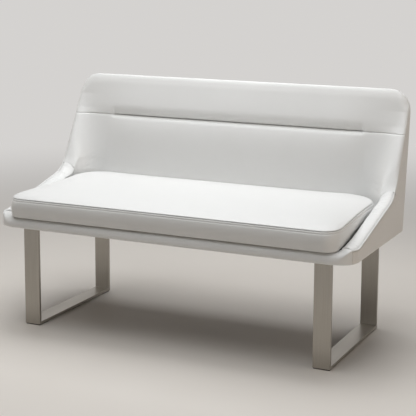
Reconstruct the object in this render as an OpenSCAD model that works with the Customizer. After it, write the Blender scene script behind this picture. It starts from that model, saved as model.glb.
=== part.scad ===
// High back dining bench: an upholstered seat whose back wraps round into low sides,
// on two sled legs of flat steel bar.
// X runs along the bench, +Y goes from the front to the back, +Z is up.
// The origin is on the floor, under the middle of the bench. Lengths are in millimetres.

/* [Overall] */
// Length over the outer side panels
overall_length = 1320; // [1100:10:1900]
// Depth from the front of the lip to the rear of the back
overall_depth = 622; // [590:2:680]
// Height to the crest of the back
overall_height = 853; // [820:1:920]
// Height of the underside of the seat above the floor
underside_height = 362; // [320:1:420]

/* [Seat frame] */
// Thickness of the cloth under the seat
dust_cover_t = 1; // [0.5:0.5:2]
// Height of the hardwood rails
rail_h = 24; // [22:1:32]
// Width of the rear and centre rails
rail_w = 50; // [40:1:60]
// How far the front rail reaches behind the rounded front corners
front_rail_land = 4; // [2:1:20]
// Width of the side rails
side_rail_w = 30; // [24:1:34]
// Width of the rails that the legs are bolted to
leg_rail_w = 80; // [70:1:90]
// Thickness of the plywood deck
deck_t = 12; // [9:1:15]
// Thickness of the plywood side boards
side_board_t = 18; // [15:1:22]
// Thickness of the plywood back board
back_board_t = 12; // [9:1:15]
// Long side of a glued corner block
corner_block_w = 70; // [50:1:80]
// Diameter of the dowels in the rail joints
dowel_d = 8; // [6:1:10]
// Length of the dowels
dowel_length = 36; // [30:1:40]

/* [Seat upholstery] */
// Plan radius of the front corners
corner_r = 80; // [72:1:90]
// How far the sides wrap round the front corners, in degrees
corner_wrap = 30; // [20:1:40]
// Height of the cushion up to its sewn edge
cushion_edge_h = 65; // [50:1:80]
// Rise of the crown above the sewn edge
cushion_crown = 21; // [10:1:30]
// Distance over which the crown rises
cushion_crown_reach = 190; // [120:5:210]
// Gap between the cushion and the sides
cushion_gap = 3; // [2:0.5:6]
// Plan radius of the cushion at its front corners
cushion_front_r = 40; // [30:1:60]
// Radius of the cushion's rolled lower edge
cushion_foot_r = 9; // [4:1:12]
// How much higher the cushion's sewn edge is at the back than at the front
cushion_rear_rise = 14; // [0:1:20]
// How far the cushion's sides draw in between its corners
cushion_draw_in = 3; // [0:0.5:6]
// Thickness of the plywood board inside the cushion
cushion_board_t = 12; // [9:1:15]
// How far that board stays inside the cushion's outline
cushion_board_inset = 16; // [12:1:30]

/* [Back] */
// Lean of the rear of the back, in degrees
back_lean = 7.6; // [5:0.1:11]
// Thickness of the outer back panel
outer_back_t = 5; // [3:1:8]
// Thickness of the back pad at the deck
back_pad_bottom_t = 38; // [32:1:46]
// Thickness of the back pad at the foot of the top roll
back_pad_top_t = 14; // [11:1:20]
// Radius of the corners at the top of the back
top_corner_r = 75; // [60:1:90]
// Radius of the roll along the top
top_roll_r = 17; // [12:1:22]
// How far the horizontal seam of the back lies below the crest
seam_drop = 151; // [140:1:190]
// Length of the deep pleat in that seam
pleat_length = 1028; // [800:4:1060]
// Depth of the pleat
pleat_depth = 13; // [6:0.5:14]
// Height over which the lower panel rolls into the pleat
pleat_lower_roll = 18; // [8:1:24]
// Height over which the upper panel rolls into the pleat
pleat_upper_roll = 38; // [20:1:46]
// Depth of the flat seam beyond the pleat
flat_seam_depth = 1.5; // [0.5:0.5:3]
// Bulge of the upper panel over the pleat
upper_bulge = 10; // [0:0.5:12]

/* [Sides] */
// Thickness of the outer side panels
side_panel_t = 8; // [5:1:10]
// Thickness of the lining between side board and cushion
side_lining_t = 27; // [20:1:32]
// Thickness of the padding over the edge of the side board
band_t = 10; // [8:1:14]
// Crown of the side band
band_crown = 4; // [2:0.5:7]
// How far the top edge of a side board stands above the deck at its front end
side_board_stand = 0.7; // [0.5:0.1:5]
// Slope of the side band, in degrees
band_slope = 14; // [10:0.5:18]
// Slope of the front edge of the wing, in degrees
wing_slope = 62.5; // [56:0.5:68]
// Radius of the bend from the band to the wing
rim_bend_r = 100; // [60:1:130]
// Width of the side at the foot of the top corner
side_top_w = 30; // [26:1:40]
// Diameter of the welt along the band
welt_d = 4.5; // [3:0.5:6]
// Width of the cove between back and wing
cove_w = 90; // [80:1:92]

/* [Legs] */
// Width of the flat bar
bar_w = 60; // [50:1:70]
// Thickness of the flat bar
bar_t = 10; // [8:1:12]
// Distance from the front of the lip to the front post
leg_setback = 60; // [50:1:90]
// Distance from the rear of the back to the rear post
leg_rear_setback = 64; // [50:1:100]
// Distance from the side of the bench to the leg
leg_inset = 83; // [70:1:250]
// Thickness of the top plate of a leg
top_plate_t = 6; // [4:1:8]
// Thickness of the glide pads
glide_t = 3; // [2:0.5:5]
// Length of a glide pad
glide_length = 55; // [30:1:70]
// How far a glide pad stays inside the bar's edges
glide_inset = 2; // [1:0.5:6]

/* [Fasteners] */
// Nominal diameter of the leg bolts
bolt_d = 8; // [6:1:10]
// Length of a leg bolt under its head
bolt_length = 30; // [28:1:32]
// Height of a bolt head
bolt_head_h = 4.4; // [3:0.1:6]
// Thickness of the washers
washer_t = 1.6; // [1:0.1:2]
// Diameter of the wood screws
screw_d = 5; // [4:0.5:6]
// Length of the wood screws
screw_length = 44; // [38:1:50]
// Diameter of the cushion screws
cushion_screw_d = 4; // [3:0.5:5]

/* [Hidden] */
// Fit and cutting values
fit_gap = 0.05;
soft_gap = 0.3;
hole_gap = 0.5;
overrun = 2;
round_fn = 48;

// Levels
rail_z = underside_height + dust_cover_t;
deck_z = rail_z + rail_h;
deck_top = deck_z + deck_t;
cap_z = overall_height - top_corner_r;
roll_z = overall_height - top_roll_r;
seam_z = overall_height - seam_drop;
rail_mid_z = rail_z + rail_h / 2;

// Lengthwise places
half_length = overall_length / 2;
panel_x = half_length - side_panel_t;
board_x = panel_x - side_board_t;
lining_x = board_x - side_lining_t;
leg_x = half_length - leg_inset - bar_w / 2;
side_rail_x = board_x - side_rail_w;
corner_x = half_length - corner_r;
leg_rail_x = leg_x - leg_rail_w / 2;

// The lip is as thick as the sides, so that it carries on their line round the corners
lip_web_t = half_length - board_x;
lip_lap_w = half_length - lining_x;

// Depthwise places
front_y = -overall_depth / 2;
rear_y = overall_depth / 2;
end_y = front_y + corner_r;
front_rail_y = end_y + front_rail_land;
leg_y0 = front_y + leg_setback;
leg_depth = overall_depth - leg_setback - leg_rear_setback;

// Planes of the leaning back, at a height z
function rear_at(z) = rear_y - (roll_z - z) * tan(back_lean);
function board_rear_at(z) = rear_at(z) - outer_back_t;
function board_at(z) = board_rear_at(z) - back_board_t;
function pad_t_at(z) =
    back_pad_bottom_t + (back_pad_top_t - back_pad_bottom_t) * (z - deck_top) / (cap_z - deck_top);
function face_at(z) = board_at(z) - pad_t_at(z);
rear_rail_y = board_at(rail_z) - rail_w;

// The rim of a side: the band's slope, a bend, then the wing's slope.
// inset is how far a curve lies inside the rim.
rim_start = [end_y, deck_top + side_board_stand + band_t / cos(band_slope)];
rim_end = [rear_at(cap_z) - side_top_w, cap_z];
knee_y = (rim_end[1] - rim_start[1] + rim_start[0] * tan(band_slope) - rim_end[0] * tan(wing_slope))
    / (tan(band_slope) - tan(wing_slope));
knee_z = rim_start[1] + (knee_y - rim_start[0]) * tan(band_slope);
mean_slope = (band_slope + wing_slope) / 2;
bend_reach = rim_bend_r / cos((wing_slope - band_slope) / 2);
bend_y = knee_y - bend_reach * sin(mean_slope);
bend_z = knee_z + bend_reach * cos(mean_slope);
function bend_point(angle, inset) =
    [bend_y + (rim_bend_r + inset) * sin(angle), bend_z - (rim_bend_r + inset) * cos(angle)];
function rim_z(y, inset) =
    let (low = bend_point(band_slope, inset), high = bend_point(wing_slope, inset))
    y <= low[0] ? low[1] + (y - low[0]) * tan(band_slope)
    : y >= high[0] ? high[1] + (y - high[0]) * tan(wing_slope)
    : bend_z - sqrt(pow(rim_bend_r + inset, 2) - pow(y - bend_y, 2));
function rim_y(z, inset) =
    let (low = bend_point(band_slope, inset), high = bend_point(wing_slope, inset))
    z <= low[1] ? low[0] + (z - low[1]) / tan(band_slope)
    : z >= high[1] ? high[0] + (z - high[1]) / tan(wing_slope)
    : bend_y + sqrt(pow(rim_bend_r + inset, 2) - pow(bend_z - z, 2));

// The cross seam between band and wing lies this share of the way round the bend
cross_seam_share = 0.78;
cross_angle = band_slope + (wing_slope - band_slope) * cross_seam_share;
cross_y = bend_point(cross_angle, 0)[0];
cross_z = bend_point(cross_angle, 0)[1];
band_end_z = rim_z(cross_y, band_t);

// Height over which the band falls inward at the cross seam, and the level where it ends
seam_inner_drop = 2 * (cross_z - band_end_z);
band_inner_z = cross_z - seam_inner_drop;
seat_step = 0.5;

// Stations of a band along Y
band_straight_steps = 6;
band_bend_steps = 5;
bend_start_y = bend_point(band_slope, 0)[0];
band_ys = concat(
    [for (i = [0:band_straight_steps - 1]) end_y + (bend_start_y - end_y) * i / band_straight_steps],
    [for (i = [0:band_bend_steps])
        bend_point(band_slope + (cross_angle - band_slope) * i / band_bend_steps, 0)[0]]);

// Levels of the back pads and of the cap over the boards along Z
foot_rise_shares = [0, 0.5, 1];
seam_rise_shares = [0.3, 0.55, 0.8];
wing_rise_shares = [0.1, 0.2, 0.32, 0.46, 0.64, 0.82];
lower_roll_shares = [1, 0.62, 0.32, 0.12, 0];
upper_roll_shares = [0, 0.05, 0.14, 0.3, 0.55, 1];
cap_rise_shares = [0.2, 0.4, 0.6, 0.8, 1];
cap_turns = [22, 42, 60, 74, 84];
wing_zs = concat(
    [band_end_z + seat_step, (band_end_z + cross_z) / 2, cross_z],
    [for (s = wing_rise_shares) cross_z + (seam_z - pleat_lower_roll - cross_z) * s]);
lower_zs = concat(
    [for (s = foot_rise_shares) deck_top + (band_inner_z - deck_top) * s],
    [for (s = seam_rise_shares) band_inner_z + (band_end_z - band_inner_z) * s],
    [band_end_z],
    wing_zs,
    [for (s = lower_roll_shares) seam_z - pleat_lower_roll * s]);
upper_zs = concat(
    [for (s = upper_roll_shares) seam_z + pleat_upper_roll * s],
    [(seam_z + pleat_upper_roll + cap_z) / 2, cap_z]);
cap_zs = concat(
    [for (s = cap_rise_shares) cap_z + (roll_z - cap_z) * s],
    [for (a = cap_turns) roll_z + top_roll_r * sin(a)]);

// Blends and small curves
function smooth(t) = let (u = min(1, max(0, t))) u * u * (3 - 2 * u);
function mix(a, b, t) = a + (b - a) * t;
conic_share = 0.7071;
function conic(a, b, c, t) =
    let (u = 1 - t, w = u * u + 2 * conic_share * u * t + t * t)
    (a * u * u + b * 2 * conic_share * u * t + c * t * t) / w;
function cubic(a, b, c, d, t) =
    let (u = 1 - t)
    a * u * u * u + b * 3 * u * u * t + c * 3 * u * t * t + d * t * t * t;
function arc(centre, rx, ry, from, to, steps) =
    [for (i = [0:steps]) let (a = from + (to - from) * i / steps) centre + [rx * cos(a), ry * sin(a)]];
function mirrored(points) = [for (i = [len(points) - 1:-1:0]) [-points[i][0], points[i][1]]];
function raised(points, z) = [for (p = points) [p[0], p[1], z]];
function joined(lists) = [for (l = lists) for (p = l) p];

// Plan of the right front corner. angle goes from 0 at the side to 90 at the front, and x is the
// place that a point has along the straight side. The lip ends where the wrap of the side begins.
corner_steps = 6;
wrap_steps = 4;
lip_angles = [for (i = [0:corner_steps]) mix(90, corner_wrap, i / corner_steps)];
wrap_angles = [for (i = [0:wrap_steps]) mix(corner_wrap, 0, i / wrap_steps)];
function corner_point(angle, x) =
    [corner_x + (x - corner_x) * cos(angle), end_y - (x - corner_x) * sin(angle)];

// Where a raised edge clears the cushion, as its place along the straight side
cushion_hx = lining_x - cushion_gap;
function clear_x(angle) =
    let (by_side = (lining_x - corner_x) / cos(angle),
         cx = cushion_hx - cushion_front_r - corner_x,
         cy = corner_r - cushion_front_r,
         along = cx * cos(angle) + cy * sin(angle),
         reach = cushion_front_r + cushion_gap)
    corner_x + (by_side * sin(angle) <= cy ? by_side
        : along + sqrt(max(0, along * along + reach * reach - cx * cx - cy * cy)));

// Faces of a stack of closed rings of count points each. The two halves of a ring split
// their quads in mirror image.
function ring_faces(rings, count, half) =
    [for (r = [0:rings - 2]) for (i = [0:count - 1])
        let (j = (i + 1) % count, a = r * count + i, b = r * count + j,
             c = (r + 1) * count + j, d = (r + 1) * count + i)
        for (f = i < half ? [[a, c, b], [a, d, c]] : [[a, d, b], [b, d, c]]) f];
function flipped(faces) = [for (f = faces) [f[2], f[1], f[0]]];
function fan(base, count, hub) =
    [for (i = [0:count - 1]) let (j = (i + 1) % count)
        if (i != hub && j != hub) [base + hub, base + i, base + j]];

// Shapes that the noses of the pads and the roll of the bands share
band_outer_drop = band_crown + 1;
roll_hook_share = 0.6;
nose_hook_share = 1.6;
nose_outer_share = 0.8;

// Back pads: one ring of points at each height
face_steps = 4;
cove_steps = 8;
nose_steps = 5;
pleat_half = pleat_length / 2;
pleat_fade = 30;
pleat_mid_fade = 10;
cove_x = lining_x - cove_w;
cove_knee_share = 0.65;
nose_hook = 4;
wing_nose_depth = 8;
wing_pad_t = 6;
wing_flare_h = 90;
bulge_fade = 150;
face_xs = concat(
    [for (i = [0:face_steps - 1]) (pleat_half - pleat_fade) * i / face_steps],
    [pleat_half - pleat_fade, pleat_half - pleat_mid_fade]);

// How far the seam draws the surface in, at a place x along the bench and a height z
function pleat_at(x) = pleat_depth * smooth((pleat_half - abs(x)) / pleat_fade);
function curl(h, reach) = h >= reach ? 0 : 1 - sqrt(max(0, 1 - pow(1 - h / reach, 2)));
function bulge_at(x, z) =
    upper_bulge * (1 - smooth((abs(x) - pleat_half + bulge_fade) / (2 * bulge_fade)))
        * (1 - pow(min(1, (z - seam_z) / (roll_z - seam_z)), 2));
function seam_dip(x, z, upper) =
    let (h = abs(z - seam_z), depth = pleat_at(x) + flat_seam_depth)
    upper ? (depth + bulge_at(x, seam_z)) * curl(h, pleat_upper_roll) - bulge_at(x, z)
    : depth * curl(h, pleat_lower_roll);

// Right half of a pad's front outline: the face, the cove, then the nose of the wing.
// Below the cross seam the nose is cut off where the side band meets the pad.
function front_half(z, upper) =
    let (fy = face_at(z),
         flare = smooth((z - cross_z) / wing_flare_h),
         cap_share = max(0, (z - cap_z) / (roll_z - cap_z)),
         rim = mix(rim_y(min(z, cap_z), 0), face_at(roll_z) + nose_hook, cap_share),
         seam_depth = rim_y(z + seam_inner_drop, 0) - rim_y(z, 0),
         depth = min(mix(seam_depth, wing_nose_depth, flare), (fy - rim) / 2),
         outer = mix(band_outer_drop / tan(cross_angle), band_t * nose_outer_share, flare),
         tip = [mix(lining_x, board_x - wing_pad_t, flare), max(cross_y, rim + depth)],
         knee = [mix(lining_x, mix(cove_x, tip[0], cove_knee_share), flare), fy],
         out = (tip - knee) / norm(tip - knee),
         nose_end = [z <= band_end_z ? board_x - nose_hook : half_length, rim + outer],
         hook_in = mix(depth * roll_hook_share, band_t, flare))
    concat(
        [for (x = face_xs) [x, fy + seam_dip(x, z, upper)]],
        [for (i = [0:cove_steps])
            let (p = conic([cove_x, fy], knee, tip, i / cove_steps), fade = i < cove_steps ? 1 : 0.5)
            p + [0, seam_dip(p[0], z, upper) * fade]],
        [for (i = [1:nose_steps])
            let (start = [tip[0], rim + depth],
                 p = cubic(start, start + out * hook_in, nose_end - [0, outer * nose_hook_share],
                           nose_end, i / nose_steps))
            [p[0], max(p[1], cross_y)]]);

// Where a pad lies on the side board and the back board
function board_half(z) =
    let (on_edge = z > band_end_z, edge_y = on_edge ? rim_y(z, band_t) : cross_y)
    [[on_edge ? half_length : board_x, edge_y],
     [board_x, on_edge ? edge_y : edge_y + band_t],
     [board_x, board_at(z)],
     [cove_x, board_at(z)]];
function closed_ring(half, rear_point) =
    concat(half, [rear_point], [for (i = [len(half) - 1:-1:1]) [-half[i][0], half[i][1], half[i][2]]]);
function pad_ring(z, upper) =
    closed_ring(raised(concat(front_half(z, upper), board_half(z)), z), [0, board_at(z), z]);

// The cap over the boards: its outline narrows with the corners and closes with the roll.
// Its first ring, at the height of the boards' tops, has its front points one step higher.
rear_corner_r = 6;
cap_tuck = 0.5;
function cap_half_x(z) =
    half_length - top_corner_r + sqrt(max(0, pow(top_corner_r, 2) - pow(z - cap_z, 2)));
function cap_ring(front_z, rear_z) =
    let (squeeze = front_z <= roll_z ? 1 : sqrt(max(0, 1 - pow((front_z - roll_z) / top_roll_r, 2))),
         middle = (rear_at(roll_z) + face_at(roll_z)) / 2,
         low_z = min(front_z, roll_z),
         rear = mix(middle, rear_at(min(rear_z, roll_z)), squeeze),
         corner = rear_corner_r * squeeze,
         hx = cap_half_x(rear_z) - cap_tuck,
         scale_x = cap_half_x(front_z) / half_length,
         front = [for (p = front_half(low_z, true)) [p[0] * scale_x, mix(middle, p[1], squeeze), front_z]],
         back = [[hx, rear - corner, rear_z],
                 [hx - corner * 0.3, rear - corner * 0.3, rear_z],
                 [hx - corner, rear, rear_z],
                 [cove_x * scale_x, rear, rear_z]])
    closed_ring(concat(front, back), [0, rear, rear_z]);

// Closing faces of a pad's end ring, each front point joined to the board point behind it
front_count = len(face_xs) + cove_steps + 1 + nose_steps;
half_count = front_count + 4;
ring_count = 2 * half_count;
function end_faces(base) =
    let (bend = len(face_xs) - 2, cove = len(face_xs) + 2, tip = front_count - nose_steps - 1,
         side = front_count, edge = side + 1, inner = side + 2, mid = side + 3, rear = side + 4,
         right = concat(
             [for (i = [0:bend - 1]) [i, i + 1, rear]], [[bend, mid, rear]],
             [for (i = [bend:cove - 1]) [i, i + 1, mid]], [[cove, inner, mid]],
             [for (i = [cove:tip - 1]) [i, i + 1, inner]], [[tip, edge, inner]],
             [for (i = [tip:front_count - 2]) [i, i + 1, edge]], [[front_count - 1, side, edge]]))
    concat(
        [for (f = right) [base + f[0], base + f[1], base + f[2]]],
        [for (f = right) [for (k = [2, 1, 0]) base + (ring_count - f[k]) % ring_count]]);
module ring_stack(rings) {
    top = (len(rings) - 1) * ring_count;
    polyhedron(
        joined(rings),
        concat(ring_faces(len(rings), ring_count, half_count), end_faces(0), flipped(end_faces(top))));
}
module back_lower_pad() {
    color("whitesmoke") ring_stack([for (z = lower_zs) pad_ring(z, false)]);
}
module back_upper_pad() {
    color("whitesmoke") ring_stack(concat(
        [for (z = upper_zs) pad_ring(z, true)],
        [cap_ring(cap_zs[0], cap_z)],
        [for (z = cap_zs) cap_ring(z, z)]));
}

// Side bands: a hooked section over the side board's edge, swept along the rim. Its roll falls
// inward, and falls further towards the cross seam.
band_inner_drop = 14;
band_roll_steps = 9;
welt_seat = welt_d + soft_gap;
band_hub = 5 + floor(band_roll_steps / 2);
function band_roll(y, inner_x, t) =
    let (top = rim_z(y, 0),
         fall = smooth((y - bend_start_y) / (cross_y - bend_start_y)),
         drop = min(mix(band_inner_drop, seam_inner_drop, fall), (top - deck_top) / 2))
    cubic([inner_x, top - drop], [inner_x, top - drop * (1 - roll_hook_share)],
          [half_length, top + band_outer_drop * (nose_hook_share - 1)],
          [half_length, top - band_outer_drop], t);
function band_section(y, inner_x) =
    let (edge = rim_z(y, band_t))
    concat(
        [[inner_x, deck_top], [board_x, deck_top], [board_x, edge],
         [half_length - welt_seat, edge], [half_length - welt_seat, edge + welt_seat]],
        [for (i = [band_roll_steps:-1:0]) band_roll(y, inner_x, i / band_roll_steps)]);

// Stations of a band: angles round the corner, then places along the side
band_stations = concat(
    [for (a = wrap_angles) if (a > 0) [a, end_y]],
    [for (y = band_ys) [0, y]]);
function at_station(station, p) =
    let (xy = corner_point(station[0], p[0])) [xy[0], xy[1] + station[1] - end_y, p[1]];
module side_band() {
    sections = [for (s = band_stations)
        [for (p = band_section(s[1], clear_x(s[0]))) at_station(s, p)]];
    count = len(sections[0]);
    last = (len(sections) - 1) * count;
    polyhedron(
        joined(sections),
        concat(flipped(ring_faces(len(sections), count, count)), flipped(fan(0, count, band_hub)),
               fan(last, count, band_hub)));
}
module side_band_right() {
    color("white") side_band();
}
module side_band_left() {
    color("white") mirror([1, 0, 0]) side_band();
}

// Welts: a cord in the corner between band and outer panel
welt_sides = 8;
module side_welt() {
    r = welt_d / 2;
    sections = [for (s = band_stations) [for (i = [0:welt_sides - 1])
        let (a = 360 * (i + 0.5) / welt_sides)
        at_station(s, [half_length - r + r * cos(a), rim_z(s[1], band_t) + r + fit_gap + r * sin(a)])]];
    last = (len(sections) - 1) * welt_sides;
    polyhedron(
        joined(sections),
        concat(flipped(ring_faces(len(sections), welt_sides, welt_sides)),
               flipped(fan(0, welt_sides, 0)), fan(last, welt_sides, 0)));
}
module side_welt_right() {
    color("gainsboro") side_welt();
}
module side_welt_left() {
    color("gainsboro") mirror([1, 0, 0]) side_welt();
}

// Front lip: a hooked roll swept along the front and into both corners, where it rises to the
// height and the roll of the side bands
lip_straight_steps = 3;
lip_round_w = 22;
lip_round_h = 17;
lip_foot_r = 11;
lip_foot_end_r = 2;
lip_rise_angle = 66;
lip_roll_steps = 6;
lip_foot_turns = [0, 30, 60, 90];
lip_hub = 1;
// One section, in distances inside the outer face and heights, at an angle round the corner
function lip_section(angle) =
    let (rise = smooth((lip_rise_angle - angle) / (lip_rise_angle - corner_wrap)),
         inner = half_length - clear_x(angle),
         shelf = mix((lip_lap_w + lip_round_w) / 2, inner, rise),
         foot = mix(lip_foot_r, lip_foot_end_r, rise))
    concat(
        [[lip_web_t, underside_height], [lip_web_t, deck_z], [lip_lap_w, deck_z], [lip_lap_w, deck_top],
         [min(shelf, lip_lap_w - seat_step), deck_top]],
        [for (i = [0:lip_roll_steps])
            let (t = i / lip_roll_steps, a = 90 * (1 - t), band = band_roll(end_y, clear_x(angle), t))
            mix([lip_round_w * (1 - cos(a)), deck_top - lip_round_h * (1 - sin(a))],
                [half_length - band[0], band[1]], rise)],
        [for (a = lip_foot_turns) [foot * (1 - cos(a)), underside_height + foot * (1 - sin(a))]]);
// Stations of the lip from the right corner to the left: the corner's middle, and the angle there
lip_stations = concat(
    [for (i = [corner_steps:-1:0]) [corner_x, lip_angles[i]]],
    [for (i = [1:lip_straight_steps - 1]) [corner_x * (1 - 2 * i / lip_straight_steps), 90]],
    [for (i = [0:corner_steps]) [-corner_x, 180 - lip_angles[i]]]);
module front_lip() {
    sections = [for (s = lip_stations) [for (p = lip_section(min(s[1], 180 - s[1])))
        [s[0] + (corner_r - p[0]) * cos(s[1]), end_y - (corner_r - p[0]) * sin(s[1]), p[1]]]];
    count = len(sections[0]);
    last = (len(sections) - 1) * count;
    color("whitesmoke") polyhedron(
        joined(sections),
        concat(flipped(ring_faces(len(sections), count, count)), flipped(fan(0, count, lip_hub)),
               fan(last, count, lip_hub)));
}

// Seat cushion: rounded loops from the pocket of its board, up the sides and over the crown
cushion_z = deck_top + soft_gap;
cushion_seam_z = deck_top + cushion_edge_h;
cushion_top_z = cushion_seam_z + cushion_crown;
cushion_rear_y = face_at(cushion_seam_z) - cushion_gap;
cushion_board_z = deck_top + cushion_board_t;
cushion_corner_steps = 6;
cushion_front_steps = 6;
cushion_rear_steps = 4;
cushion_side_steps = 3;
seam_pinch = 1.6;
seam_h = 1.5;
cushion_foot_turns = [0, 45, 90];
crown_shares = [0.01, 0.04, 0.09, 0.17, 0.28, 0.42, 0.6, 0.8, 1];
function between(a, b, steps) = [for (i = [1:steps - 1]) mix(a, b, i / steps)];
function sag(x, reach) = 1 - pow(x / reach, 2);
function cushion_loop(z, inset, draw) =
    let (hx = cushion_hx - inset,
         y0 = front_y + inset,
         y1 = face_at(min(z, cushion_seam_z)) - cushion_gap - inset,
         fr = max(cushion_front_r - inset * 0.5, cushion_front_r * 0.3),
         rear_rx = max(cushion_hx - cove_x - inset * 0.5, cushion_front_r * 0.3),
         rear_ry = max(y1 + inset - cross_y - inset * 0.5, cushion_front_r * 0.3),
         fx = hx - fr,
         side_y0 = y0 + fr,
         side_y1 = y1 - rear_ry,
         side_mid = (side_y0 + side_y1) / 2,
         side_reach = (side_y1 - side_y0) / 2,
         front = [for (p = between([0, y0], [fx, y0], cushion_front_steps / 2))
             p + [0, draw * sag(p[0], fx)]],
         side = [for (p = between([hx, side_y0], [hx, side_y1], cushion_side_steps))
             p - [draw * sag(p[1] - side_mid, side_reach), 0]],
         right = concat(
             front,
             arc([fx, side_y0], fr, fr, -90, 0, cushion_corner_steps),
             side,
             arc([hx - rear_rx, side_y1], rear_rx, rear_ry, 0, 90, cushion_corner_steps),
             between([hx - rear_rx, y1], [0, y1], cushion_rear_steps / 2)))
    raised(concat([[0, y0 + draw]], right, [[0, y1]], mirrored(right)), z);
// The cushion gets thicker towards the back
function lift_at(y) = cushion_rear_rise * (y - front_y) / (cushion_rear_y - front_y);
function lifted(loop, share) = [for (p = loop) p + [0, 0, lift_at(p[1]) * share]];
function side_loop(share, inset) =
    lifted(cushion_loop(mix(cushion_z, cushion_seam_z, share), inset, cushion_draw_in), share);
function crown_at(inset) = cushion_crown * sqrt(max(0, 1 - pow(1 - inset / cushion_crown_reach, 2)));
module seat_cushion() {
    loops = concat(
        [cushion_loop(cushion_board_z, cushion_board_inset, 0),
         cushion_loop(cushion_z, cushion_board_inset, 0)],
        [for (a = cushion_foot_turns)
            side_loop(cushion_foot_r * (1 - cos(a)) / cushion_edge_h, cushion_foot_r * (1 - sin(a)))],
        [side_loop(0.6, 0),
         side_loop(0.88, seam_pinch * 0.4),
         side_loop(1 - seam_h / cushion_edge_h, seam_pinch),
         side_loop(1, seam_pinch * 0.3)],
        [for (s = crown_shares)
            let (inset = cushion_crown_reach * s)
            lifted(cushion_loop(cushion_seam_z + crown_at(inset), inset, cushion_draw_in * (1 - s)), 1)]);
    count = len(loops[0]);
    last = (len(loops) - 1) * count;
    hub = len(loops) * count;
    middle_y = (front_y + cushion_rear_y) / 2;
    color("white") polyhedron(
        concat(joined(loops),
               [[0, middle_y, cushion_board_z], [0, middle_y, cushion_top_z + lift_at(middle_y)]]),
        concat(
            ring_faces(len(loops), count, count / 2),
            [for (i = [0:count - 1]) [hub, i, (i + 1) % count]],
            [for (i = [0:count - 1]) [hub + 1, last + (i + 1) % count, last + i]]));
}

// Board inside the cushion
module cushion_board() {
    outline = [for (p = cushion_loop(cushion_board_z, cushion_board_inset + hole_gap, 0)) [p[0], p[1]]];
    low = [for (p = cushion_loop(deck_top, cushion_board_inset + hole_gap, 0)) [p[0], p[1]]];
    color("burlywood") difference() {
        translate([0, 0, deck_top]) linear_extrude(cushion_board_t) intersection() {
            polygon(outline);
            polygon(low);
        }
        cushion_screw_places() cylinder(d = cushion_screw_d + 2 * fit_gap, h = cushion_screw_reach + overrun,
            $fn = round_fn);
    }
}

// Outer side panel and side board share the outline under the band and the nose, and are bent
// round the front corner
rim_outline = concat(
    [[rim_y(cap_z, band_t), cap_z]],
    [for (i = [len(wing_zs) - 1:-1:0]) [rim_y(wing_zs[i], band_t), wing_zs[i]]],
    [for (i = [len(band_ys) - 1:-1:0]) [band_ys[i], rim_z(band_ys[i], band_t)]]);
bend_tail = 20;
module side_plate(x, t, rear_inset) {
    translate([x, 0, 0]) rotate([90, 0, 90]) linear_extrude(t) polygon(concat(
        [[end_y, underside_height],
         [rear_at(underside_height) - rear_inset, underside_height],
         [rear_at(cap_z) - rear_inset, cap_z]],
        rim_outline));
    translate([0, 0, underside_height]) linear_extrude(rim_z(end_y, band_t) - underside_height)
        polygon(concat(
            [for (a = wrap_angles) corner_point(a, x + t)],
            [[x + t, end_y + bend_tail], [x, end_y + bend_tail]],
            [for (i = [wrap_steps:-1:0]) corner_point(wrap_angles[i], x)]));
}
module side_panel_right() {
    color("lightgray") side_plate(panel_x, side_panel_t, 0);
}
module side_panel_left() {
    color("lightgray") mirror([1, 0, 0]) side_plate(panel_x, side_panel_t, 0);
}

// Wood screws: countersunk, through the side boards and the back board
screw_head_h = screw_d / 2;
side_screw_rise_shares = [0.12, 0.42, 0.75];
side_screw_depth_shares = [0.1, 0.5, 0.9];
back_screw_shares = [-0.7, -0.25, 0.25, 0.7];
module screw(gap) {
    translate([0, 0, -screw_length]) cylinder(d = screw_d + gap, h = screw_length, $fn = round_fn);
    translate([0, 0, -screw_head_h])
        cylinder(d1 = screw_d + gap, d2 = 2 * screw_d + gap, h = screw_head_h, $fn = round_fn);
}
module side_screw_places() {
    for (s = side_screw_depth_shares)
        translate([panel_x, mix(front_rail_y, rear_rail_y, s), rail_mid_z]) rotate([0, 90, 0]) children();
    for (s = side_screw_rise_shares) {
        z = mix(deck_top, cap_z, s);
        translate([panel_x, (board_at(z) + board_rear_at(z)) / 2, z]) rotate([0, 90, 0]) children();
    }
}
module back_screw_places() {
    for (s = back_screw_shares)
        translate([board_x * s, board_rear_at(rail_mid_z), rail_mid_z])
            rotate([-90 - back_lean, 0, 0]) children();
}
module all_screws(gap) {
    side_screw_places() screw(gap);
    mirror([1, 0, 0]) side_screw_places() screw(gap);
    back_screw_places() screw(gap);
}
module frame_screws() {
    color("silver") all_screws(0);
}

// Boards
module side_board() {
    difference() {
        side_plate(board_x, side_board_t, outer_back_t);
        side_screw_places() screw(2 * fit_gap);
    }
}
module side_board_right() {
    color("tan") side_board();
}
module side_board_left() {
    color("tan") mirror([1, 0, 0]) side_board();
}
module leaning_plate(half_x, z0, rear_inset, t) {
    translate([-half_x, 0, 0]) rotate([90, 0, 90]) linear_extrude(2 * half_x) polygon([
        [rear_at(z0) - rear_inset - t, z0],
        [rear_at(z0) - rear_inset, z0],
        [rear_at(cap_z) - rear_inset, cap_z],
        [rear_at(cap_z) - rear_inset - t, cap_z]]);
}
module back_board() {
    color("burlywood") difference() {
        leaning_plate(board_x, rail_z, outer_back_t, back_board_t);
        all_screws(2 * fit_gap);
    }
}
module outer_back_panel() {
    color("lightgray") leaning_plate(panel_x, underside_height, 0, outer_back_t);
}

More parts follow.
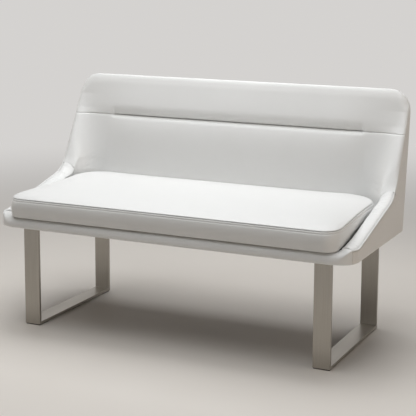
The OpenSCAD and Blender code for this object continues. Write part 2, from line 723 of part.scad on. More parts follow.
// Seat frame: hardwood rails, dowelled together
frame_corner = concat(
    [for (a = lip_angles) corner_point(a, board_x)],
    [for (a = wrap_angles) if (a < corner_wrap) corner_point(a, board_x)]);
frame_front = concat(frame_corner, [for (p = [1:-1:0]) [board_x * (2 * p - 1), front_rail_y]],
                     mirrored(frame_corner));
dowel_offset = leg_rail_w * 0.3;
dowel_xs = [0, leg_x - dowel_offset, leg_x + dowel_offset, board_x - side_rail_w / 2];
module dowel_places() {
    for (x = dowel_xs, y = [front_rail_y, rear_rail_y]) {
        translate([x, y, rail_mid_z]) children();
        if (x > 0) translate([-x, y, rail_mid_z]) children();
    }
}
module dowel(gap) {
    rotate([90, 0, 0]) cylinder(d = dowel_d + gap, h = dowel_length + gap, center = true, $fn = round_fn);
}
module rail_dowels() {
    color("peru") dowel_places() dowel(0);
}
module cross_rail(x, w) {
    translate([x, front_rail_y, rail_z]) cube([w, rear_rail_y - front_rail_y, rail_h]);
}
module front_rail() {
    color("peru") difference() {
        translate([0, 0, rail_z]) linear_extrude(rail_h) polygon(frame_front);
        dowel_places() dowel(2 * fit_gap);
    }
}
module rear_rail() {
    color("peru") difference() {
        translate([-board_x, 0, 0]) rotate([90, 0, 90]) linear_extrude(2 * board_x) polygon([
            [rear_rail_y, rail_z], [board_at(rail_z), rail_z], [board_at(deck_z), deck_z],
            [rear_rail_y, deck_z]]);
        dowel_places() dowel(2 * fit_gap);
        back_screw_places() screw(2 * fit_gap);
    }
}
module side_rail() {
    difference() {
        cross_rail(side_rail_x, side_rail_w);
        dowel_places() dowel(2 * fit_gap);
        side_screw_places() screw(2 * fit_gap);
    }
}
module side_rail_right() {
    color("peru") side_rail();
}
module side_rail_left() {
    color("peru") mirror([1, 0, 0]) side_rail();
}
module centre_rail() {
    color("peru") difference() {
        cross_rail(-rail_w / 2, rail_w);
        dowel_places() dowel(2 * fit_gap);
    }
}
module corner_blocks() {
    inner = leg_rail_x;
    color("peru") for (m = [0, 1]) mirror([m, 0, 0]) translate([0, 0, rail_z]) linear_extrude(rail_h) {
        polygon([[inner, front_rail_y], [inner, front_rail_y + corner_block_w],
                 [inner - corner_block_w, front_rail_y]]);
        polygon([[inner, rear_rail_y], [inner - corner_block_w, rear_rail_y],
                 [inner, rear_rail_y - corner_block_w]]);
    }
}

// Deck on the rails
module seat_deck() {
    half = concat(
        [for (a = lip_angles) corner_point(a, lining_x)],
        [for (a = wrap_angles) corner_point(a, board_x)],
        [[board_x, board_at(deck_z)]]);
    color("burlywood") difference() {
        translate([0, 0, deck_z]) linear_extrude(deck_t) polygon(concat(half, mirrored(half)));
        cushion_screw_places() translate([0, 0, -cushion_screw_reach])
            cylinder(d = cushion_screw_d + 2 * hole_gap, h = 2 * cushion_screw_reach, $fn = round_fn);
    }
}
module dust_cover() {
    outline = [for (p = frame_corner) p - [soft_gap, -soft_gap]];
    half = concat(outline, [[board_x - soft_gap, board_at(underside_height)]]);
    color("black") difference() {
        translate([0, 0, underside_height]) linear_extrude(dust_cover_t)
            polygon(concat(half, mirrored(half)));
        bolt_places() cylinder(d = bolt_d + 2 * hole_gap, h = 2 * overrun + dust_cover_t, center = true,
            $fn = round_fn);
    }
}

// Cushion screws: from under the deck into the cushion board
cushion_screw_reach = deck_t + cushion_board_t * 0.8;
cushion_screw_head_h = cushion_screw_d * 0.6;
cushion_screw_x_shares = [0.34, 0.7];
cushion_screw_y_shares = [0.25, 0.75];
module cushion_screw_places() {
    for (sx = cushion_screw_x_shares, side = [-1, 1], sy = cushion_screw_y_shares)
        translate([side * sx * leg_x, mix(front_rail_y, rear_rail_y, sy), deck_z]) children();
}
module cushion_screws() {
    color("silver") cushion_screw_places() {
        cylinder(d = cushion_screw_d, h = cushion_screw_reach, $fn = round_fn);
        translate([0, 0, -cushion_screw_head_h])
            cylinder(d = 2 * cushion_screw_d, h = cushion_screw_head_h, $fn = round_fn);
    }
}

// Legs: flat bar posts and runner with a welded top plate, bolted into the leg rails
bolt_count = 4;
bolt_margin = 30;
plate_z = underside_height - top_plate_t;
bolt_span = rear_rail_y - front_rail_y - 2 * bolt_margin;
module leg_bolt_places() {
    for (i = [0:bolt_count - 1])
        translate([leg_x, front_rail_y + bolt_margin + bolt_span * i / (bolt_count - 1), underside_height])
            children();
}
module bolt_places() {
    leg_bolt_places() children();
    mirror([1, 0, 0]) leg_bolt_places() children();
}
module leg_frame() {
    difference() {
        translate([leg_x - bar_w / 2, 0, 0]) rotate([90, 0, 90]) linear_extrude(bar_w) difference() {
            translate([leg_y0, glide_t]) square([leg_depth, underside_height - glide_t]);
            translate([leg_y0 + bar_t, glide_t + bar_t])
                square([leg_depth - 2 * bar_t, plate_z - glide_t - bar_t]);
        }
        leg_bolt_places() translate([0, 0, -top_plate_t - overrun])
            cylinder(d = bolt_d + 2 * hole_gap, h = top_plate_t + 2 * overrun, $fn = round_fn);
    }
}
module leg_frame_right() {
    color("darkgray") leg_frame();
}
module leg_frame_left() {
    color("darkgray") mirror([1, 0, 0]) leg_frame();
}
module glide_pads() {
    runs = [leg_y0 + glide_inset, leg_y0 + (leg_depth - glide_length) / 2,
            leg_y0 + leg_depth - glide_inset - glide_length];
    color("black") for (m = [0, 1]) mirror([m, 0, 0]) for (y = runs)
        translate([leg_x - bar_w / 2 + glide_inset, y, 0])
            cube([bar_w - 2 * glide_inset, glide_length, glide_t]);
}

// Leg bolts with button heads, washers, and tee nuts set into the tops of the leg rails
washer_d = 2 * bolt_d;
bolt_head_d = 1.75 * bolt_d;
key_d = 0.6 * bolt_d;
tee_flange_d = 2.75 * bolt_d;
tee_flange_t = 1.5;
tee_barrel_d = 1.3 * bolt_d;
tee_barrel_h = 1.5 * bolt_d;
tee_z = deck_z - underside_height - tee_flange_t;
module leg_bolts() {
    head_z = -top_plate_t - washer_t;
    color("silver") bolt_places() difference() {
        union() {
            translate([0, 0, head_z]) cylinder(d = bolt_d - 2 * fit_gap, h = bolt_length, $fn = round_fn);
            translate([0, 0, head_z - bolt_head_h])
                cylinder(d1 = bolt_head_d * 0.7, d2 = bolt_head_d, h = bolt_head_h, $fn = round_fn);
        }
        translate([0, 0, head_z - bolt_head_h - overrun])
            cylinder(d = key_d, h = bolt_head_h * 0.6 + overrun, $fn = 6);
    }
}
module leg_washers() {
    color("silver") bolt_places() translate([0, 0, -top_plate_t - washer_t]) difference() {
        cylinder(d = washer_d, h = washer_t, $fn = round_fn);
        translate([0, 0, -overrun])
            cylinder(d = bolt_d + hole_gap, h = washer_t + 2 * overrun, $fn = round_fn);
    }
}
module tee_nuts() {
    color("silver") bolt_places() difference() {
        union() {
            translate([0, 0, tee_z]) cylinder(d = tee_flange_d, h = tee_flange_t, $fn = round_fn);
            translate([0, 0, tee_z - tee_barrel_h])
                cylinder(d = tee_barrel_d, h = tee_barrel_h + fit_gap, $fn = round_fn);
        }
        cylinder(d = bolt_d, h = 2 * deck_z, $fn = round_fn);
    }
}
module leg_rail() {
    difference() {
        cross_rail(leg_rail_x, leg_rail_w);
        dowel_places() dowel(2 * fit_gap);
        leg_bolt_places() {
            cylinder(d = bolt_d + 2 * hole_gap, h = rail_h, $fn = round_fn);
            translate([0, 0, tee_z - tee_barrel_h])
                cylinder(d = tee_barrel_d + 2 * fit_gap, h = 2 * tee_barrel_h, $fn = round_fn);
            translate([0, 0, tee_z]) cylinder(d = tee_flange_d + 2 * fit_gap, h = rail_h, $fn = round_fn);
        }
    }
}
module leg_rail_right() {
    color("peru") leg_rail();
}
module leg_rail_left() {
    color("peru") mirror([1, 0, 0]) leg_rail();
}

seat_cushion();
cushion_board();
cushion_screws();
back_lower_pad();
back_upper_pad();
side_band_left();
side_band_right();
side_welt_left();
side_welt_right();
side_panel_left();
side_panel_right();
outer_back_panel();
front_lip();
dust_cover();
seat_deck();
front_rail();
rear_rail();
side_rail_left();
side_rail_right();
leg_rail_left();
leg_rail_right();
centre_rail();
corner_blocks();
rail_dowels();
side_board_left();
side_board_right();
back_board();
frame_screws();
leg_frame_left();
leg_frame_right();
glide_pads();
leg_bolts();
leg_washers();
tee_nuts();
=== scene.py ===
import math

import bmesh
import bpy
import numpy as np
from mathutils import Matrix, Vector, kdtree, noise


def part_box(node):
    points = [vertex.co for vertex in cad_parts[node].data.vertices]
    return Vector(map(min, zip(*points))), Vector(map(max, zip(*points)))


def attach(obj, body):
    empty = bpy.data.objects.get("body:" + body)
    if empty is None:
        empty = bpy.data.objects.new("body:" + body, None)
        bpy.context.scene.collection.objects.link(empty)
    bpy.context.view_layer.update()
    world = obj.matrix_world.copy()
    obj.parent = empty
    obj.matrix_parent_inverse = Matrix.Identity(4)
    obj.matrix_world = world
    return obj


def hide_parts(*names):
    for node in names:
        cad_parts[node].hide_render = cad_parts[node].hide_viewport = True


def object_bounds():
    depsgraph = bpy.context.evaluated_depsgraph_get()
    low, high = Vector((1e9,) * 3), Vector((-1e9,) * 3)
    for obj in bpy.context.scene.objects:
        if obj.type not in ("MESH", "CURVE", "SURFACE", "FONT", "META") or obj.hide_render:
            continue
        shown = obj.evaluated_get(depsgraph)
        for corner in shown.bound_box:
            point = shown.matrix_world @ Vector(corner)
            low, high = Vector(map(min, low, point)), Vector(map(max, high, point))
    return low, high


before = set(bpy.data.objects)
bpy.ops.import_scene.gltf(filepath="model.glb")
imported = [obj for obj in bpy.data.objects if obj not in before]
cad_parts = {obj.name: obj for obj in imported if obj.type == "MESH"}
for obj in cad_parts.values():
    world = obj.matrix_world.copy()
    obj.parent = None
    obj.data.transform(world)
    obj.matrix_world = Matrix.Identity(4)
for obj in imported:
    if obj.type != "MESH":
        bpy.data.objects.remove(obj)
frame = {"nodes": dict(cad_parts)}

nodes = frame["nodes"]
cad_low, cad_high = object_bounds()


# Sled legs, left and right. Each is a frame of brushed steel flat bar, welded at mitred
# corners and bolted up into the seat frame through its top plate. The brushing runs along
# the bar, so it turns at every corner, and the sawn edges are broken to a small radius.
class Shade:
    """One output of a node. Sums and products of it add Math nodes."""

    def __init__(self, nodes, socket):
        self.nodes = nodes
        self.socket = socket

    def math(self, operation, *others):
        return self.nodes.node("ShaderNodeMath", {"operation": operation}, [self, *others])

    def __add__(self, other):
        return self.math("ADD", other)

    __radd__ = __add__

    def __sub__(self, other):
        return self.math("SUBTRACT", other)

    def __rsub__(self, other):
        return self.nodes.node("ShaderNodeMath", {"operation": "SUBTRACT"}, [other, self])

    def __mul__(self, other):
        return self.math("MULTIPLY", other)

    def __truediv__(self, other):
        return self.math("DIVIDE", other)

    def above(self, edge, width):
        """0 below edge, 1 above it, over a ramp of that width."""
        return self.nodes.node("ShaderNodeMapRange", {"interpolation_type": "SMOOTHSTEP"},
                               [self, edge - width / 2, edge + width / 2, 0.0, 1.0])


class Nodes:
    """The node tree of a material or of the world."""

    def __init__(self, tree):
        self.tree = tree

    def node(self, kind, settings, values, output=0):
        """Adds a node. values is a list by place, or a dict by a socket's name or place."""
        made = self.tree.nodes.new(kind)
        for key, setting in settings.items():
            setattr(made, key, setting)
        pairs = values.items() if isinstance(values, dict) else enumerate(values)
        for key, value in pairs:
            self.plug(made.inputs[key], value)
        return Shade(self, made.outputs[output])

    def plug(self, socket, value):
        if isinstance(value, Shade):
            self.tree.links.new(value.socket, socket)
        elif socket.type == "RGBA":
            socket.default_value = (*value, 1)
        else:
            socket.default_value = value

    def between(self, share, low, high):
        """A colour between two colours."""
        return self.node("ShaderNodeMix", {"data_type": "RGBA"}, {0: share, 6: low, 7: high}, 2)

    def seen_directly(self):
        """1 for what the camera sees, also mirrored in metal, and 0 for what only gives light."""
        by_camera = self.node("ShaderNodeLightPath", {}, {}, "Is Camera Ray")
        in_metal = self.node("ShaderNodeLightPath", {}, {}, "Is Glossy Ray")
        return by_camera.math("MAXIMUM", in_metal)


class Finish(Nodes):
    """A material."""

    def __init__(self, name):
        self.material = bpy.data.materials.new(name)
        self.material.use_nodes = True
        super().__init__(self.material.node_tree)
        self.shader = self.tree.nodes["Principled BSDF"]
        self.place = self.node("ShaderNodeTexCoord", {}, [], "Object")
        self.xyz = [self.node("ShaderNodeSeparateXYZ", {}, [self.place], axis) for axis in "XYZ"]

    def stretched(self, scale):
        """The place on the piece, with each axis scaled."""
        return self.node("ShaderNodeVectorMath", {"operation": "MULTIPLY"}, [self.place, scale])

    def cloud(self, place, scale, detail=2.0, roughness=0.5):
        return self.node("ShaderNodeTexNoise", {},
                         {"Vector": place, "Scale": scale, "Detail": detail, "Roughness": roughness},
                         "Fac")

    def raise_by(self, height, depth):
        """A normal for a height from 0 to 1, which stands for that many metres."""
        return self.node("ShaderNodeBump", {}, {"Strength": 1.0, "Distance": depth, "Height": height},
                         "Normal")

    def give(self, **sockets):
        """Sets the sockets of the shader: base_color for Base Color, and so on."""
        for name, value in sockets.items():
            self.plug(self.shader.inputs[name.replace("_", " ").title().replace("Ior", "IOR")], value)


def dress(name, finish, edge_radius=0.0):
    """Gives a solid of the frame its material and, if asked, broken edges."""
    piece = nodes[name]
    piece.data.materials.clear()
    piece.data.materials.append(finish.material)
    if edge_radius > 0:
        weld = piece.modifiers.new("weld", "WELD")
        weld.merge_threshold = 1e-6
        bevel = piece.modifiers.new("broken edges", "BEVEL")
        bevel.width = edge_radius
        bevel.segments = 3
        bevel.limit_method = "ANGLE"
        bevel.angle_limit = math.radians(40)
        piece.modifiers.new("normals", "WEIGHTED_NORMAL")


def brushed_steel(name, leg_box):
    low, high = leg_box
    bar_t = 0.010
    steel = Finish(name)
    x, y, z = steel.xyz
    to_end = (y - low.y).math("MINIMUM", high.y - y)
    is_post = (z - low.z - to_end).above(0, 0.0004)
    post_lines = steel.cloud(steel.stretched((1.0, 1.0, 0.008)), 900.0, 3.0)
    runner_lines = steel.cloud(steel.stretched((1.0, 0.008, 1.0)), 900.0, 3.0)
    lines = runner_lines + (post_lines - runner_lines) * is_post
    broad = steel.cloud(steel.place, 9.0, 3.0)
    weld_line = 1 - (z - low.z - to_end).math("ABSOLUTE").above(0.0007, 0.0008)
    near_corner = 1 - to_end.above(bar_t, 0.001)
    weld = weld_line * near_corner
    light = steel.between(lines * 0.7 + broad * 0.3, (0.28, 0.26, 0.23), (0.48, 0.45, 0.405))
    steel.give(base_color=steel.between(weld * 0.35, light, (0.12, 0.11, 0.1)),
               metallic=1.0 - weld * 0.2,
               roughness=0.26 + lines * 0.2 + weld * 0.15,
               anisotropic=0.3,
               normal=steel.raise_by(lines * 0.8 + weld, 0.00005))
    return steel


for side in ("left", "right"):
    leg = "leg_frame_" + side
    dress(leg, brushed_steel("brushed_bar_" + side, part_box(leg)), 0.0008)


# Glides, bolts, washers and tee nuts. The glides are black rubber pads glued under the
# runners. Button head bolts with washers go up through the top plates into tee nuts that
# are set into the leg rails. All of the fasteners are zinc plated.
rubber = Finish("glide_rubber")
grit = rubber.cloud(rubber.place, 1400.0, 2.0)
rubber.give(base_color=rubber.between(rubber.cloud(rubber.place, 60.0), (0.012, 0.012, 0.013),
                                      (0.035, 0.034, 0.033)),
            roughness=0.6 + grit * 0.25,
            normal=rubber.raise_by(grit, 0.00008))
dress("glide_pads", rubber, 0.0006)

zinc = Finish("zinc_plate")
spangle = zinc.cloud(zinc.place, 420.0, 3.0)
turned = zinc.cloud(zinc.stretched((1.0, 1.0, 14.0)), 160.0, 2.0)
zinc.give(base_color=zinc.between(spangle, (0.42, 0.43, 0.46), (0.66, 0.67, 0.69)),
          metallic=1.0,
          roughness=0.25 + turned * 0.22,
          normal=zinc.raise_by(turned, 0.00003))
for name in ("leg_bolts", "leg_washers", "tee_nuts", "frame_screws", "cushion_screws"):
    dress(name, zinc)


# Seat frame: planed beech rails, dowelled and glued at their ends, with corner blocks. It is
# closed in by the deck, the boards and the dust cover, so it shows only in other views.
def beech(name, along):
    wood = Finish(name)
    stretch = [1.0, 1.0, 1.0]
    stretch[along] = 0.05
    fibres = wood.cloud(wood.stretched(tuple(stretch)), 240.0, 4.0, 0.6)
    flecks = wood.cloud(wood.stretched(tuple(3 * s for s in stretch)), 420.0, 1.0).above(0.68, 0.06)
    broad = wood.cloud(wood.stretched(tuple(stretch)), 26.0, 2.0)
    tone = wood.between(fibres * 0.6 + broad * 0.4, (0.36, 0.20, 0.10), (0.62, 0.42, 0.25))
    wood.give(base_color=wood.between(flecks * 0.5, tone, (0.24, 0.12, 0.06)),
              roughness=0.5 + fibres * 0.2,
              normal=wood.raise_by(fibres, 0.00015))
    return wood


beech_along_bench = beech("beech_along_bench", 0)
beech_across_bench = beech("beech_across_bench", 1)
for name in ("front_rail", "rear_rail", "corner_blocks"):
    dress(name, beech_along_bench, 0.001)
for name in ("side_rail_left", "side_rail_right", "leg_rail_left", "leg_rail_right", "centre_rail",
             "rail_dowels"):
    dress(name, beech_across_bench)


# Boards: birch plywood for the deck, the side boards, the back board and the base of the
# cushion. Its faces show long grain, and its sawn edges show the light and dark plies.
def plywood(name, through, along, lined_above=None):
    """Plywood whose plies are stacked along one axis and whose face grain runs along another.
    lined_above is the height of a top face that has black lining cloth glued to it."""
    ply = Finish(name)
    stretch = [1.0, 1.0, 1.0]
    stretch[along] = 0.06
    grain = ply.cloud(ply.stretched(tuple(stretch)), 130.0, 4.0, 0.6)
    face = ply.between(grain, (0.50, 0.34, 0.18), (0.74, 0.57, 0.36))
    ply_pitch = 0.003
    plies = (ply.xyz[through] / ply_pitch).math("PINGPONG", 1.0).above(0.5, 0.3)
    edge = ply.between(plies, (0.38, 0.24, 0.12), (0.66, 0.49, 0.29))
    facing = ply.node("ShaderNodeSeparateXYZ", {},
                      [ply.node("ShaderNodeNewGeometry", {}, {}, "Normal")], "XYZ"[through])
    on_face = facing.math("ABSOLUTE").above(0.6, 0.1)
    colour = ply.between(on_face, edge, face)
    if lined_above is not None:
        on_lining = facing.above(0.6, 0.1) * ply.xyz[2].above(lined_above, 0.0002)
        lint = ply.cloud(ply.place, 800.0, 3.0)
        colour = ply.between(on_lining, colour, ply.between(lint, (0.02, 0.02, 0.02), (0.05, 0.05, 0.05)))
    ply.give(base_color=colour,
             roughness=0.55 + grain * 0.2,
             normal=ply.raise_by(grain, 0.0002))
    return ply


flat_plywood = plywood("plywood_flat", 2, 0)
side_plywood = plywood("plywood_sides", 0, 2)
back_plywood = plywood("plywood_back", 1, 0)
dress("cushion_board", flat_plywood, 0.0008)
dress("seat_deck", plywood("plywood_lined", 2, 0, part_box("seat_deck")[1].z - 0.001), 0.0008)
for name in ("side_board_left", "side_board_right"):
    dress(name, side_plywood)
dress("back_board", back_plywood)


# Dust cover: thin black non-woven cloth, stretched under the seat frame, turned in at its
# edges and held by a row of staples. It sags a little between the rails.
sharp_angle = math.radians(50)


def add_piece(name, points, faces):
    """A smooth shaded piece from its points and faces, with sharp edges kept sharp."""
    mesh = bpy.data.meshes.new(name)
    mesh.from_pydata([tuple(p) for p in points], [], [tuple(f) for f in faces])
    mesh.polygons.foreach_set("use_smooth", [True] * len(mesh.polygons))
    mesh.set_sharp_from_angle(angle=sharp_angle)
    piece = bpy.data.objects.new(name, mesh)
    bpy.context.scene.collection.objects.link(piece)
    return piece


def settle(piece, finish, slot, *stands_for):
    """Gives a piece its material and its place in the frame."""
    piece.data.materials.append(finish.material)
    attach(piece, "root")
    if stands_for:
        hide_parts(*stands_for)


def mix(a, b, share):
    return a + (b - a) * share


def ramp(share):
    """0 to 1, with a soft start and end."""
    share = min(1.0, max(0.0, share))
    return share * share * (3 - 2 * share)


cloth_low, cloth_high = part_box("dust_cover")
underside = cloth_low.z
cloth_corner_r = 0.054
cloth_sag = 0.0015
cloth_ripple = 0.0004
cloth_bays = 4
cloth_columns = 72
cloth_rows = 36


def cloth_edge_y(x):
    """Front edge of the cloth at a place along the bench, round its corners."""
    into_corner = max(0.0, abs(x) - (cloth_high.x - cloth_corner_r))
    return cloth_low.y + cloth_corner_r - math.sqrt(max(0.0, cloth_corner_r ** 2 - into_corner ** 2))


cloth_points = []
for row in range(cloth_rows + 1):
    for column in range(cloth_columns + 1):
        x = mix(cloth_low.x, cloth_high.x, column / cloth_columns)
        y = mix(cloth_edge_y(x), cloth_high.y, row / cloth_rows)
        sag = cloth_sag * abs(math.sin(math.pi * cloth_bays * column / cloth_columns)) \
            * math.sin(math.pi * row / cloth_rows)
        ripple = cloth_ripple * noise.noise(Vector((x * 18, y * 18, 0)))
        cloth_points.append((x, y, underside - sag + ripple * (0 < row < cloth_rows)))


def net_faces(rows, width, closed=False):
    """Quads between rows of points, each row width points long."""
    across = width if closed else width - 1
    return [(r * width + c, r * width + (c + 1) % width,
             (r + 1) * width + (c + 1) % width, (r + 1) * width + c)
            for r in range(rows - 1) for c in range(across)]


dust_cloth = add_piece("dust_cloth", cloth_points, net_faces(cloth_rows + 1, cloth_columns + 1))
thicken = dust_cloth.modifiers.new("cloth thickness", "SOLIDIFY")
thicken.thickness = 0.0006
thicken.offset = -1
black_cloth = Finish("black_lining_cloth")
fibres = black_cloth.cloud(black_cloth.place, 900.0, 4.0, 0.7)
dots = black_cloth.node("ShaderNodeTexVoronoi", {"feature": "F1"},
                        {"Vector": black_cloth.place, "Scale": 420.0, "Randomness": 0.15}, "Distance")
bonds = 1 - dots.above(0.32, 0.1)
black_cloth.give(base_color=black_cloth.between(fibres, (0.012, 0.012, 0.013), (0.045, 0.045, 0.047)),
                 roughness=0.85 - bonds * 0.2,
                 sheen_weight=0.3,
                 normal=black_cloth.raise_by(fibres * 0.6 + (1 - bonds) * 0.4, 0.0002))
settle(dust_cloth, black_cloth, "lining_cloth", "dust_cover")

staple_w = 0.010
staple_below = 0.0009
staple_wire = 0.0008
staple_pitch = 0.045
staple_inset = 0.012
side_staples = 9


def steps(low, high, count):
    """count equal steps from low to high, both ends among them."""
    return [mix(low, high, i / count) for i in range(count + 1)]


def add_swept(name, parts, finish, slot, *stands_for):
    """A piece of closed parts. A part is rows of points, each row a closed section."""
    points = []
    faces = []
    for rows in parts:
        start = len(points)
        width = len(rows[0])
        points += [point for row in rows for point in row]
        ends = [range(width), range((len(rows) - 1) * width, len(rows) * width)]
        faces += [[start + i for i in face] for face in net_faces(len(rows), width, True) + ends]
    piece = add_piece(name, points, faces)
    turned = bmesh.new()
    turned.from_mesh(piece.data)
    bmesh.ops.recalc_face_normals(turned, faces=turned.faces)
    turned.to_mesh(piece.data)
    turned.free()
    settle(piece, finish, slot, *stands_for)
    return piece


def staple(x, y, along_x):
    """Sections of a staple: a flat wire over the cloth, bent up into the rail at its ends."""
    rows = []
    for run, up in ((-0.5, 1), (-0.42, 0), (0.42, 0), (0.5, 1)):
        row = []
        for side, down in ((-0.5, 0), (0.5, 0), (0.5, 1), (-0.5, 1)):
            a, b = run * staple_w, side * staple_wire
            z = underside - staple_below + (up - down) * staple_wire
            row.append((x + a, y + b, z) if along_x else (x - b, y + a, z))
        rows.append(row)
    return rows


staple_x = cloth_high.x - cloth_corner_r
front_staples = round(2 * staple_x / staple_pitch)
staples = [staple(x, y, True) for x in steps(-staple_x, staple_x, front_staples)
           for y in (cloth_low.y + staple_inset, cloth_high.y - staple_inset)]
staples += [staple(side * (cloth_high.x - staple_inset), y, False) for side in (-1, 1)
            for y in steps(cloth_low.y + cloth_corner_r, cloth_high.y - cloth_corner_r, side_staples - 1)]
add_swept("cloth_staples", staples, zinc, "zinc")


# Outer side panels and outer back panel: thin board, padded with felt and covered in the same
# faux leather as the seat. Their cover is drawn in a darker, warmer copy of its colour, which is
# painted shade: the warm, dim light these sides get from the floor. The side panels are bent round
# the front corners. The cover is wrapped round the edges, so they are softly rounded, and it is
# sewn to the lip's at the corner.
def faux_leather(name, pale, deep):
    """Coated cloth with a fine pebble grain, a soft satin gloss and slight mottling."""
    skin = Finish(name)
    warp = skin.node("ShaderNodeTexNoise", {}, {"Vector": skin.place, "Scale": 260.0, "Detail": 2.0},
                     "Color")
    bent = skin.node("ShaderNodeVectorMath", {"operation": "MULTIPLY_ADD"},
                     [warp, (0.0012, 0.0012, 0.0012), skin.place])
    pebble = skin.node("ShaderNodeTexVoronoi", {"feature": "DISTANCE_TO_EDGE"},
                       {"Vector": bent, "Scale": 750.0}, "Distance")
    grain = pebble.above(0.09, 0.16)
    broad = skin.cloud(skin.place, 7.0, 4.0, 0.55)
    fine = skin.cloud(skin.place, 90.0, 3.0, 0.6)
    tone = skin.between(broad * 0.7 + fine * 0.3, deep, pale)
    skin.give(base_color=skin.between((1 - grain) * 0.10, tone, tuple(c * 0.72 for c in deep)),
              roughness=0.40 + fine * 0.12 - grain * 0.05,
              normal=skin.raise_by(grain * 0.7 + fine * 0.5, 0.00010),
              coat_weight=0.08,
              coat_roughness=0.35,
              sheen_weight=0.05)
    return skin


pale_leather = faux_leather("pale_faux_leather", (0.84, 0.84, 0.83), (0.80, 0.80, 0.79))
# A darker, warmer copy of the pale leather: painted warm shade for the outer panels, not another leather.
shaded_panel_leather = faux_leather("panel_faux_leather_painted_shade", (0.82, 0.80, 0.77), (0.77, 0.75, 0.72))

half_length = cad_high.x
front_y = cad_low.y
rear_y = cad_high.y
overall_height = 0.853
top_roll_r = 0.017
back_lean = math.tan(math.radians(7.6))
roll_z = overall_height - top_roll_r
deck_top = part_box("seat_deck")[1].z
panel_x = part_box("outer_back_panel")[1].x
board_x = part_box("back_board")[1].x
lining_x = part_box("side_band_right")[0].x
cap_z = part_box("side_panel_right")[1].z
seam_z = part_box("back_lower_pad")[1].z


def rear_at(z):
    """Rear plane of the leaning back at a height."""
    return rear_y - (roll_z - z) * back_lean


# The front corners, seen from above. A place on the side goes round a corner by an angle.
corner_r = 0.080
corner_wrap = math.radians(30)
wrap_run = corner_wrap * corner_r
corner_x = half_length - corner_r
end_y = front_y + corner_r


def round_corner(angle, x, y):
    """Plan place of a point of the right side, whose place on the straight side is x, y."""
    reach = x - corner_x
    return corner_x + reach * math.cos(angle), y - reach * math.sin(angle)


# The rim of a side, seen from the side, is a gentle slope, a bend and a steep slope. inset
# is how far a curve lies inside it: the boards and panels end one band thickness inside.
band_t = 0.010
band_slope = math.radians(14)
wing_slope = math.radians(62.5)
rim_bend_r = 0.100
side_board_stand = 0.0007
side_top_w = 0.030
soft_gap = 0.0003
rim_low = (end_y, deck_top + side_board_stand + band_t / math.cos(band_slope))
rim_high = (rear_at(cap_z) - side_top_w, cap_z)
knee_y = ((rim_high[1] - rim_low[1] + rim_low[0] * math.tan(band_slope)
           - rim_high[0] * math.tan(wing_slope))
          / (math.tan(band_slope) - math.tan(wing_slope)))
knee_z = rim_low[1] + (knee_y - rim_low[0]) * math.tan(band_slope)
mean_slope = (band_slope + wing_slope) / 2
bend_reach = rim_bend_r / math.cos((wing_slope - band_slope) / 2)
bend_y = knee_y - bend_reach * math.sin(mean_slope)
bend_z = knee_z + bend_reach * math.cos(mean_slope)


def bend_point(angle, inset=0.0):
    """The rim's y and z where it has bent up to an angle."""
    reach = rim_bend_r + inset
    return bend_y + reach * math.sin(angle), bend_z - reach * math.cos(angle)


def rim_z(y, inset=0.0):
    """Height of the rim at a distance along the side."""
    low = bend_point(band_slope, inset)
    high = bend_point(wing_slope, inset)
    if y <= low[0]:
        return low[1] + (y - low[0]) * math.tan(band_slope)
    if y >= high[0]:
        return high[1] + (y - high[0]) * math.tan(wing_slope)
    return bend_z - math.sqrt((rim_bend_r + inset) ** 2 - (y - bend_y) ** 2)


def rim_y(z, inset=0.0):
    """Where along the side the rim reaches a height."""
    low = bend_point(band_slope, inset)
    high = bend_point(wing_slope, inset)
    if z <= low[1]:
        return low[0] + (z - low[1]) / math.tan(band_slope)
    if z >= high[1]:
        return high[0] + (z - high[1]) / math.tan(wing_slope)
    return bend_y + math.sqrt((rim_bend_r + inset) ** 2 - (bend_z - z) ** 2)


def curl(distance, reach):
    """1 at a seam or an edge, falling to 0 where the cover has come round to its full height."""
    if distance >= reach:
        return 0.0
    return 1 - math.sqrt(1 - (1 - max(0.0, distance) / reach) ** 2)


edge_r = 0.0030
edge_places = [edge_r * share for share in (0, 0.12, 0.35, 0.65, 1)]
corner_seam_depth = 0.0018
corner_seam_reach = 0.005


def cover_rows(columns, thickness, place):
    """Sections of a padded panel. A column is its low end, its high end, its distance from an end
    of the panel and its angle. place turns an outline point, a depth and an angle into a point."""
    rows = []
    for low, high, from_end, angle in columns:
        length = math.dist(low, high)
        places = edge_places + steps(edge_r, length - edge_r, 12)[1:-1] \
            + [length - p for p in reversed(edge_places)]
        sunk = corner_seam_depth * curl(-from_end, corner_seam_reach) if from_end < 0 else 0.0
        row = []
        for p in places:
            depth = edge_r * curl(min(p, length - p, abs(from_end) + edge_r * (from_end < 0)), edge_r)
            at = (mix(low[0], high[0], p / length), mix(low[1], high[1], p / length))
            row.append(place(at, depth + sunk, angle))
        row.append(place(high, thickness, angle))
        row.append(place(low, thickness, angle))
        rows.append(row)
    return rows


panel_stand = 0.0035
panel_stand_end_y = 0.10


def panel_top(y):
    """Top of a side panel's cover, which stands up a little to the welt along the band."""
    return rim_z(y, band_t - panel_stand * (1 - ramp((y - panel_stand_end_y) / 0.03)))


